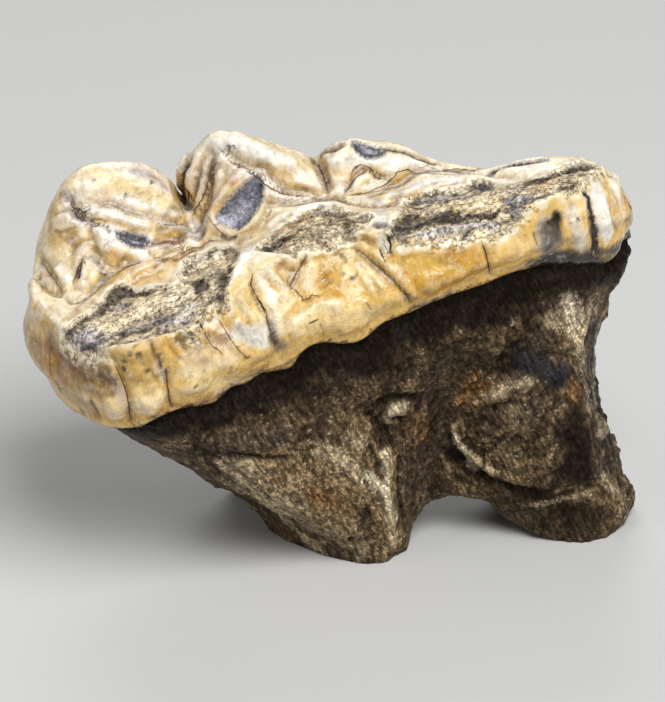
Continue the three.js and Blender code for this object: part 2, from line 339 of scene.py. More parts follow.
CREASES = (
    ("biting", (
        ([(-15, 2.2), (-12.9, 2), (-11, 1.6)], 0.9, -0.2),
        ([(-16.4, 2.8), (-16.4, 2.2), (-16.1, 1.7), (-15.6, 1.4)], 0.6, -0.5),
        ([(-15.3, 2), (-14.6, 1.8), (-13.8, 1.8), (-12.9, 1.5), (-11.7, 1.2), (-10.8, 1.1), (-9.7, 1.1),
         (-8.7, 2)], 0.4, -0.4),
        ([(-15.7, 1.4), (-15, 0.9), (-14.3, 0.6)], 0.4, -0.3),
        ([(-11.9, -0.1), (-10.9, 0.1), (-10, 0.1), (-9, 0.8)], 0.5, -0.45),
        ([(-12.4, -0.4), (-11.7, -0.9), (-10.8, -0.5), (-9.7, -0.3)], 0.45, -0.35),
        ([(-11.7, -1.4), (-10.6, -1), (-9.4, -0.6), (-8.3, -0.1)], 0.4, -0.25),
        ([(-8, 0.5), (-9.1, 0.7), (-10.6, 0.2)], 0.4, -0.3),
        ([(-8, 1), (-8.9, 1.3), (-10, 1)], 0.4, -0.35),
        ([(-15.9, 0.5), (-16.7, 0.6), (-17.6, 0.4)], 0.5, -0.4),
        ([(-19.8, 2.6), (-19.4, 1.4), (-19.2, 0.1), (-18.7, -1.5)], 0.55, -0.45),
        ([(-20.2, 1.2), (-19.9, -0.1), (-19.3, -1.4), (-18.7, -1.8)], 0.55, -0.5),
        ([(-16.7, -0.1), (-17.2, -0.6), (-17.6, -1)], 0.4, -0.6),
        ([(-18.7, -1.8), (-18.3, -2.4), (-17.3, -2.2), (-16.5, -1.7), (-15.6, -1.2)], 0.5, -0.5),
        ([(-15.7, 1.3), (-15.7, 0.6), (-15.7, -0.1), (-15.3, -0.7), (-14.7, -0.9), (-13.8, -0.8),
         (-12.8, -0.9)], 0.5, -0.5),
        ([(-15.9, 0.3), (-15.6, -0.3)], 0.4, -0.3),
        ([(-5.9, 2.8), (-6.2, 2.3), (-6.6, 1.9), (-7.1, 1.5), (-7.7, 1.3), (-8.4, 1.5)], 0.65, -0.55),
        ([(-6.4, 2.9, 11), (-7, 2.8, 9.9), (-7.6, 2.5, 8.8), (-8.1, 2.5, 7.6), (-8.6, 3, 6.5)], 0.4, -0.35),
        ([(-7.4, 3.5, 10.2), (-7.9, 4, 8.9), (-8.2, 4.6, 7.4), (-8.5, 4.8, 6.4)], 0.45, -0.4),
        ([(-8, 5, 9), (-8.4, 5.6, 7.4)], 0.4, -0.3),
        ([(-5.6, 2.6), (-4.8, 2.1), (-3.6, 1.5), (-2.9, 1.4), (-2.2, 0.9), (-1.6, 0.5), (-0.4, 0.2),
         (1.3, -0.1)], 0.6, -0.6),
        ([(-6, 2), (-5.4, 1.5)], 0.7, -0.25),
        ([(-3.2, 0), (-1.1, -0.3), (0.9, -0.2), (2, -0.9), (3.8, -1.8), (5.2, -1.9)], 0.4, -0.35),
        ([(0.9, 3.7, 7.4), (1, 2.6, 7.3), (1.1, 1.6, 7), (1.1, 0.9, 6.6), (1, 0.2, 6.2)], 0.6, -0.65),
        ([(2, -0.2), (2.5, 0), (3.1, 0.3), (3.6, 0.4), (4.2, 0.4), (4.6, 0.1), (5.4, -0.2)], 0.45, -0.45),
        ([(3.1, -0.3), (3.8, -0.2), (4.6, -0.1), (5.3, -0.1)], 0.3, -0.22),
        ([(5.5, 1.2), (6.7, 1.1), (7.8, 0.9), (9.2, 0.8)], 0.35, -0.3),
        ([(3.1, 2), (2.3, 2.1), (1.4, 3.2)], 0.35, -0.3),
        ([(1.6, -0.5), (3.8, -0.8), (5.1, -0.6), (6.1, -0.5), (7, -0.2), (8.3, 0.2), (10.1, 0.3),
         (12.3, -0.8), (13.8, -1.9), (14.7, -2.8)], 0.55, -0.5),
        ([(9.3, 0.6), (10.5, 0.7), (11.7, 0.3)], 0.35, -0.3),
        ([(12.2, -0.6), (13.2, -0.2), (14.6, -0.6), (16.3, -1.1)], 0.45, -0.45),
        ([(3.1, -5.7), (3.6, -5.9)], 0.4, -0.3),
        ([(19.8, -3.9, 4), (20.5, -3.2, 2.3), (21.2, -2.7, 0.8), (21.4, -3, 0.2)], 0.4, -0.3),
    )),
    ("tongue", (
        ([(-17.2, 5.8), (-16.9, 4.7), (-16.8, 2.9), (-16.9, 1.5), (-17, -0.4)], 0.6, -0.4),
        ([(-19.2, 2.5), (-19.2, 1.2), (-19, -0.6)], 0.5, -0.3),
        ([(-19.6, 3.4), (-18.2, 3.7), (-17.2, 3.8)], 0.6, -0.3),
        ([(-16.6, 4.2), (-15.2, 3.9), (-14.2, 4.1)], 0.5, -0.15),
        ([(-14.2, 6.6), (-14.2, 5.6), (-14, 4.6)], 0.4, -0.25),
        ([(-14.8, 4.8), (-14.6, 4), (-14.5, 3.3)], 0.3, -0.18),
        ([(-13.7, 4.5), (-13.9, 3.6), (-14, 2.6), (-14.1, 1.7), (-14, 0.7)], 0.5, -0.35),
        ([(-12.6, 6.3), (-12, 5)], 0.5, -0.3),
        ([(-11.6, 6.2), (-11, 4.9)], 0.5, -0.35),
        ([(-10.8, 6.5), (-10.5, 5.9)], 0.35, -0.25),
        ([(-9.8, 5), (-9.5, 4.2)], 0.45, -0.2),
        ([(-8.8, 4.5), (-8.5, 3.5), (-8.2, 2.7)], 0.35, -0.28),
        ([(-6, 7.1), (-6.3, 6.9), (-6.4, 6.2), (-6.3, 5.6), (-6, 4.6), (-6.1, 3.7), (-6.2, 3.4), (-6, 2.8)],
         0.45, -0.4),
        ([(-4.1, 6.9), (-3.3, 6)], 0.9, -0.3),
        ([(-2.5, 6.5), (-3.2, 5.8), (-3.9, 5.4)], 0.35, -0.3),
        ([(-3.9, 5.4), (-3.5, 5), (-3.2, 4.8), (-2.6, 4.9), (-1.8, 4.8)], 0.35, -0.28),
        ([(-1.5, 5.4), (-1.2, 4.9)], 1.1, -0.3),
        ([(1.1, 6.2), (2.1, 5.2), (3, 4.2), (3.7, 2.8), (3.9, 1.8)], 0.5, -0.4),
        ([(0.5, 6.6), (1.8, 6.6), (2.6, 6.1)], 0.5, -0.2),
        ([(3.5, 6.6), (3.5, 6), (3.4, 5.4)], 0.4, -0.4),
        ([(2.9, 5.9), (2.9, 5.3)], 0.3, -0.22),
        ([(9.6, 5), (9.7, 3.5), (9.8, 1.7)], 0.35, -0.15),
        ([(17.5, 5.1), (17.8, 4.4), (17.6, 2.7), (17.7, 0.9), (17.4, -0.4)], 0.55, -0.45),
        ([(15.1, 4.4), (14.5, 2.9)], 0.5, -0.15),
        ([(19.2, 2.8), (19.3, 1.6), (19.8, -0.5)], 0.3, -0.15),
        ([(19.4, 4.6), (19.9, 3.1), (20.1, 1.8)], 0.3, -0.12),
    )),
)


def walk(path):
    """A smooth path through the points, in short steps, with how much of it is behind each step."""
    path = np.array(path, float)
    run = np.concatenate([[0], np.cumsum(np.linalg.norm(np.diff(path, axis=0), axis=1))])
    at = np.linspace(0, run[-1], int(run[-1] / PATH_STEP) + 2)
    return np.stack([spline(run, path[:, k], at) for k in range(path.shape[1])], 1), at / run[-1]


def near_box(body, low, high, reach):
    return np.nonzero(np.all((body >= low - reach) & (body <= high + reach), axis=1))[0]


def laid(side, path):
    """A path as points on the skin: one given in two directions is dropped onto that side of it."""
    line, share = walk(path)
    if line.shape[1] == 3:
        pool = skin[near_box(skin, line.min(0), line.max(0), 1)]
        gaps = np.linalg.norm(pool[None] - line[:, None], axis=2)
        return np.stack([pool[gap < gap.min() + SNAP_BLUR].mean(0) for gap in gaps]), share
    first, second, drop, end = SIDES[side]
    of_root = side.startswith("root")
    body, looks = (standing, facing @ crown_axes) if of_root else (skin, facing)
    pool = near_box(body[:, [first, second]], line.min(0), line.max(0), DROP_REACH)
    pool = body[pool[looks[pool, drop] * end > 0.1]]
    full = np.zeros((len(line), 3))
    for step, (p, q) in enumerate(line):
        gap = np.hypot(pool[:, first] - p, pool[:, second] - q)
        close = gap < max(DROP_NEAR, gap.min() + 0.01)
        level = pool[close, drop] * end
        weight = np.exp(-(gap[close] / DROP_BLUR) ** 2) * (level > level.max() - 1) + 1e-9
        full[step, [first, second, drop]] = p, q, (weight * level).sum() / weight.sum() * end
    return (lie(full) if of_root else full), share


def near_line(line, reach):
    """The skin's points within reach of a line, how far off each is, and the step that it is next to."""
    spots = near_box(skin, line.min(0), line.max(0), reach)
    gaps = np.linalg.norm(skin[spots, None] - line[None], axis=2)
    step = gaps.argmin(1)
    gap = gaps[np.arange(len(spots)), step]
    return spots[gap < reach], gap[gap < reach], step[gap < reach]


def ends_fade(share, step, low, high):
    """How strong a path still is at each step, as it fades out towards both its ends."""
    return smooth(np.minimum(share, 1 - share)[step], low, high)


def strokes(groups):
    """Every stroke of a list that is grouped by side, then one carving of the skin by all of them."""
    for side, rows in groups:
        for path, reach, rise in rows:
            line, share = laid(side, path)
            spots, gap, step = near_line(line, reach)
            profile = bump(gap, reach) if rise > 0 else (1 - gap / reach) ** CREASE_SHARPNESS
            lift[spots] += rise * profile * ends_fade(share, step, *STROKE_TAPER)
    carved()


strokes(SWELLINGS)
strokes(CREASES)

# --- Worn facets -----------------------------------------------------------------------------------
# Chewing has ground the tongue side down to the dentine: three long ragged facets lie inside a pale
# rim of enamel, and a smooth slate-grey one is polished onto each cusp and onto the ledge in front.

WORN_FACETS = (
    [(-19.9, -5.6), (-19.2, -5.6), (-18.3, -4.8), (-17.4, -4.3), (-16.4, -3.3), (-15.6, -2.5),
     (-14.6, -2.3), (-13.7, -3.2), (-12.4, -3.6), (-11.5, -4.4), (-10.9, -4.2), (-10.6, -2.4),
     (-10.2, -1.6), (-9.5, -1), (-8.2, -0.8), (-6.6, -1.2), (-6.3, -2.2), (-6.4, -4.2), (-7.3, -6),
     (-8.1, -7.7), (-8.5, -8.9), (-9.6, -9.3), (-10.6, -9.7), (-11.6, -10.3), (-12.9, -10.3),
     (-14.2, -10.1), (-15.7, -9.8), (-17.1, -9.3), (-18, -8.7), (-18.7, -7.8), (-19.4, -6.6)],
    [(-5.3, -4.6), (-4.7, -3.8), (-4.1, -2.6), (-3.4, -2), (-2.5, -1.7), (-1.2, -1.2), (0.1, -1),
     (1.2, -1.3), (2.2, -2.4), (3.3, -4.6), (2.6, -5.4), (1.3, -6), (-0.7, -6.1), (-2.2, -6), (-3, -6.4),
     (-4.3, -5.6)],
    [(3.6, -6.9), (4.3, -5.9), (5, -4.4), (5.8, -1.8), (7.1, -1.5), (8.9, -1.6), (10.2, -1.9), (11, -1.4),
     (12.1, -1.7), (12.3, -3.6), (13.1, -4.5), (15.3, -3.7), (17.2, -2.4), (18.4, -2), (19.5, -2.5),
     (19.4, -4.4), (18.5, -5.6), (16.6, -7), (14.3, -7.6), (12.9, -8), (11.4, -8.4), (10, -8.4), (8, -8.3),
     (5.9, -8), (4.2, -7.6)],
)
SLATE_FACETS = (
    [(-14.1, 0.6), (-12.9, 0.5), (-12.1, 0.2), (-11.8, -0.2), (-12.5, -0.3), (-13.5, -0.15), (-14, 0.2)],
    [(-7.05, 0.6), (-6.1, 0.75), (-4.8, 0.95), (-3, 1.35), (-3.2, 0.8), (-3.5, 0.35), (-4.1, -0.05),
     (-5, -0.35), (-5.8, -0.5), (-6.6, 0), (-7.05, 0.3)],
    [(3.5, 1.8), (3.8, 2.3), (4.3, 1.9), (4.8, 1.6), (5.4, 1.4), (5.7, 1.1), (5.5, 0.8), (4.9, 0.8),
     (4.2, 0.9), (3.7, 1.3)],
)
FACET_HOLLOWS = (
    ("biting", (
        ([(-16.4, -3.5), (-15.4, -2.8), (-14.3, -2.8), (-13.3, -3.7)], 0.7, -0.3),
        ([(-15.5, -3.7), (-15.2, -3.9)], 0.7, 0.3),
        ([(-10, -5.6), (-9.5, -6.4)], 0.9, -0.45),
        ([(-11.2, -6.2), (-10.9, -7.7), (-10, -8.9), (-9.1, -8.5), (-8.3, -7.4)], 0.4, 0.22),
        ([(-17, -9), (-15.7, -8.2), (-13.9, -8.4), (-12, -8.3)], 0.5, -0.25),
        ([(-4.2, -4.5), (-3.6, -4), (-3, -3.8)], 0.6, -0.3),
        ([(0.6, -1.7), (1.3, -2.9)], 0.5, -0.25),
        ([(-1.8, -2.9), (-0.8, -3.1), (0.2, -3.5)], 0.35, -0.25),
        ([(1.4, -4.2), (1.1, -5.4)], 0.45, -0.3),
        ([(4, -6.8), (5.7, -6), (7.3, -5.6), (8.4, -5.9)], 0.7, -0.3),
        ([(7.4, -6.7), (9.3, -7.3), (11.3, -7.9)], 0.35, -0.25),
        ([(8.6, -4.2), (10, -4.8), (11.4, -5.4)], 0.7, 0.2),
        ([(11.4, -2.2), (11.8, -2.3)], 0.7, -0.35),
        ([(12.4, -7), (13.5, -7.1)], 0.6, -0.3),
        ([(15.3, -4.8), (16.9, -3.4), (18.6, -2.6)], 0.5, -0.25),
    )),
)
FACET_DEPTH = 0.28
FACET_CRUMBS = 0.2
FACET_WAVES = 0.15
FACET_RIM = 0.12
FACET_RAGGED = 0.16
SLATE_DEPTH = 0.16
SLATE_RIM = 0.1
FARTHEST = 2.0
OUTLINE_MARGIN = 1.5


def depth_inside(side, outline):
    """How far inside an outline each point of the skin lies, in mm, and how far outside it as a minus."""
    first, second, drop, end = SIDES[side]
    spots = near_box(skin[:, [first, second]], np.min(outline, 0), np.max(outline, 0), OUTLINE_MARGIN)
    spots = spots[facing[spots, drop] * end > 0]
    x, y = skin[spots, first], skin[spots, second]
    inside, gap = np.zeros(len(spots), bool), np.full(len(spots), np.inf)
    for (ax, ay), (bx, by) in zip(outline, outline[1:] + outline[:1]):
        share = ((x - ax) * (bx - ax) + (y - ay) * (by - ay)) / ((bx - ax) ** 2 + (by - ay) ** 2)
        share = np.clip(share, 0, 1)
        gap = np.minimum(gap, np.hypot(x - mix(ax, bx, share), y - mix(ay, by, share)))
        crossed = (ay > y) != (by > y)
        inside ^= crossed & (x < ax + (bx - ax) * (y - ay) / np.where(crossed, by - ay, 1))
    depth = np.full(len(skin), -FARTHEST)
    depth[spots] = np.clip(np.where(inside, gap, -gap), -FARTHEST, FARTHEST)
    return depth


ragged = grain(0.9, 3)
worn = np.max([depth_inside("biting", outline) for outline in WORN_FACETS], axis=0)
worn = settled((worn + FACET_RAGGED * ragged)[:, None], 1)[:, 0]
slate = np.max([depth_inside("biting", outline) for outline in SLATE_FACETS], axis=0)

crumbs = grain(0.6, 3, (1.5, 1, 1), 5)
waves = grain(1.6, 2, (1.8, 1, 1), 9)
lift += smooth(worn, -0.1, 0.35) * (FACET_CRUMBS * crumbs + FACET_WAVES * waves - FACET_DEPTH)
lift += FACET_RIM * bump(worn + 0.2, 0.25)
lift -= SLATE_DEPTH * smooth(slate, -0.05, 0.25)
lift += SLATE_RIM * bump(slate + 0.2, 0.3)
carved()
strokes(FACET_HOLLOWS)

# --- Neck and root skin ----------------------------------------------------------------------------
# The enamel ends in a rolled lip that stands a little proud of the roots. The roots are bare cementum:
# lumpy, split by fine furrows, fibrous where the front and rear roots meet, and knobbed at the edges.

ENAMEL_EDGE = ((-22.4, -1.5), (-18.5, -1), (-17.5, -0.7), (-16.5, -0.3), (-15.7, 0.1), (-14.1, 0.5),
               (-13, 0.4), (-12, 0), (-11, -0.2), (-9.6, 0.4), (-8.6, 0.2), (-7.4, 0.6), (-6.5, 0.3),
               (-5.4, 0.1), (-4.5, 0.8), (-3.6, 1.3), (-2.6, 1.2), (-1.6, 0.6), (-0.4, 0.1), (0.8, 0.6),
               (1.9, 1.1), (3.7, 1.1), (4.9, 1.3), (6.7, 1.4), (9.3, 1.4), (10.8, 1.6), (11.9, 1.6),
               (13.3, 1.5), (14.8, 1), (16.4, 0.3), (17.7, -0.6), (19, -1.4), (20.3, -1.8), (22.4, -2.6))
SIDES["root tongue"] = SIDES["tongue"]
SIDES["root cheek"] = SIDES["cheek"]
ROOT_STROKES = (
    # Paths in mm along the ground and up from it.
    ("root tongue", (
        ([(1.6, 12.8), (2.2, 11), (2.5, 9.4)], 0.8, -0.5),
        ([(2.4, 9.4), (2.8, 7.9), (2.6, 6.3), (2.9, 3.6), (3.3, 1.4)], 0.5, 0.28),
        ([(1.2, 8), (2, 6.8), (2.6, 5.4)], 0.45, 0.2),
        ([(3.6, 9), (3.7, 6), (4.1, 3)], 0.5, -0.3),
        ([(2.3, 12.2), (2.7, 13.1), (3.8, 12.9)], 0.6, 0.4),
        ([(2.9, 12.4), (3.8, 12.1)], 0.35, -0.35),
        ([(1.6, 13.9), (3, 14.3), (4.9, 13.7)], 0.7, -0.4),
        ([(5.2, 12.6), (5.6, 10.8), (5.4, 9)], 0.8, 0.3),
        ([(7.7, 10.4), (8.4, 8.4), (9.4, 7.2), (11, 6.2)], 0.6, 0.35),
        ([(7.8, 7.6), (9.5, 5.9), (11.6, 4.8), (14.2, 4.4)], 0.9, -0.6),
        ([(15.2, 4), (17, 4.7), (18.8, 5)], 0.7, -0.35),
        ([(-9.6, 12), (-8.4, 11.7), (-6.9, 11.2), (-4.6, 10.7)], 0.5, -0.4),
        ([(1, 13.3), (1.3, 12.7)], 0.6, -0.4),
        ([(-0.1, 2.4), (0.3, 2)], 0.5, -0.4),
        ([(-11.4, 12), (-9.9, 9.8), (-7.4, 7)], 0.6, 0.35),
        ([(-12.6, 13.6), (-10.4, 12), (-8, 9.6), (-5.6, 6.4)], 0.4, -0.25),
        ([(18.5, 9.6), (18.8, 8.6)], 0.8, 0.45),
        ([(19.7, 7), (20.1, 5.8)], 0.7, 0.3),
        ([(17.4, 12.2), (17.9, 10.4), (17.9, 8.2)], 0.6, -0.35),
        ([(16.9, 18), (16.2, 16.6), (16.8, 15.2)], 1, 0.35),
        ([(13, 16.6), (15, 16.2), (16.4, 15)], 0.6, -0.3),
        ([(-6, 14.6), (-3.4, 13.6), (-1.4, 11.6)], 1.4, 0.25),
        ([(9.4, 15), (10.6, 12.6)], 1.6, 0.3),
        ([(13.6, 9.6), (15, 6.6)], 1.8, 0.3),
    )),
    ("root cheek", (
        ([(4.4, 15), (3.8, 9), (3, 2.6)], 2.6, -0.9),
        ([(-5, 13), (-4.4, 8), (-4, 4)], 1.4, -0.4),
        ([(11, 14), (12, 8), (13, 4)], 1.2, -0.3),
        ([(-10, 14), (-7, 9), (-6, 4)], 0.6, 0.3),
    )),
)
CHEEK_STROKES = (
    ("cheek", (
        ([(-8.7, 5.4), (-8.5, 2), (-8.2, -1)], 1.8, -0.7),
        ([(0.9, 6), (1.2, 2), (1.4, -1.4)], 1.5, -0.55),
        ([(9.2, 3.4), (9.4, 1), (9.4, -1.6)], 1.2, -0.35),
        ([(-18, -0.2), (-8, 0), (0, -0.8), (10, -2), (18, -2)], 1.1, 0.35),
        ([(-14.6, 6), (-14.4, 2)], 2.6, 0.3),
        ([(-4.6, 6), (-4.4, 1.6)], 2.2, 0.3),
    )),
    ("front", (
        ([(-5.6, 4.4), (-5.2, 0.6)], 1, -0.3),
        ([(2.4, 4.4), (2.8, 0.6)], 0.9, -0.25),
    )),
    ("rear", (
        ([(-1.6, 2), (-1.4, -1.4)], 0.8, -0.25),
        ([(-5, 3), (-3.6, 2.6), (-2.4, 2)], 1.5, 0.45),
        ([(-5, -1.6), (-3.6, -2), (-2, -2)], 1.4, -0.4),
        ([(-5, -3.7), (-4, -4), (-2.6, -4)], 1.5, -0.7),
        ([(-5.8, -3.2), (-4.6, -3.4), (-3, -3.6)], 1.8, -0.5),
        ([(-5, 0), (-3.6, -0.4), (-2, -0.6)], 1.2, -0.2),
        ([(-6, -2.8), (-5, -3), (-3.6, -3.4)], 1.3, -0.55),
        ([(-5.4, -1.6), (-4.6, -1.8), (-3.4, -2)], 0.9, -0.3),
        ([(-6, -2.2), (-4, -2.4), (-1, -2.6), (2, -2.8), (5, -3)], 1, -0.5),
        ([(-5, -6.6), (-4.2, -7)], 1.2, 0.3),
        ([(-4.4, -7.2), (-4, -7.6)], 0.8, 0.4),
    )),
    ("front", (
        ([(-3.6, 4), (-2.6, 3.5), (-1.6, 3)], 1.6, -0.35),
    )),
)

NECK_WANDER = 0.16
LIP_RISE, NECK_DIP = 0.05, 0.55
ROOT_WAVES, ROOT_GRAIN, ROOT_PITS = 0.3, 0.1, 0.14
ENAMEL_RIPPLES, ENAMEL_WAVES = 0.07, 0.12

strokes(CHEEK_STROKES)

across = np.clip((skin[:, 1] - along(MID_LINE, skin[:, 0])) / along(HALF_WIDTH, skin[:, 0]), -1, 1)
neck = skin[:, 2] - along(ENAMEL_EDGE, skin[:, 0]) + along(CHEEK_NECK_DROP, skin[:, 0]) * (across + 1) / 2
neck += NECK_WANDER * grain(1.4, 2)
bare = smooth(-neck, 0.3, 1.6)
enamel = smooth(neck, 0, 0.6) * smooth(-worn, 0.05, 0.3)
lift += LIP_RISE * bump(neck - 0.45, 0.55) - NECK_DIP * bump(neck + 0.7, 0.9)
lift += bare * (ROOT_WAVES * grain(3.4, 2, shift=3) + ROOT_GRAIN * grain(1.1, 3, (1, 1, 1.6), 7))
lift += enamel * (ENAMEL_RIPPLES * grain(1.5, 2, shift=13) + ENAMEL_WAVES * grain(3.2, 1, shift=19))
carved()
lift += bare * ROOT_PITS * np.abs(grain(0.6, 2, (1, 1, 1.8), 2))
strokes(ROOT_STROKES)

# --- Cracks ----------------------------------------------------------------------------------------
# Fine dry cracks run through the enamel, mostly from the biting edge down to the neck, and dark lines
# mark where two folds of it meet. Each one is a path, how black the dirt in it is, and its half width.

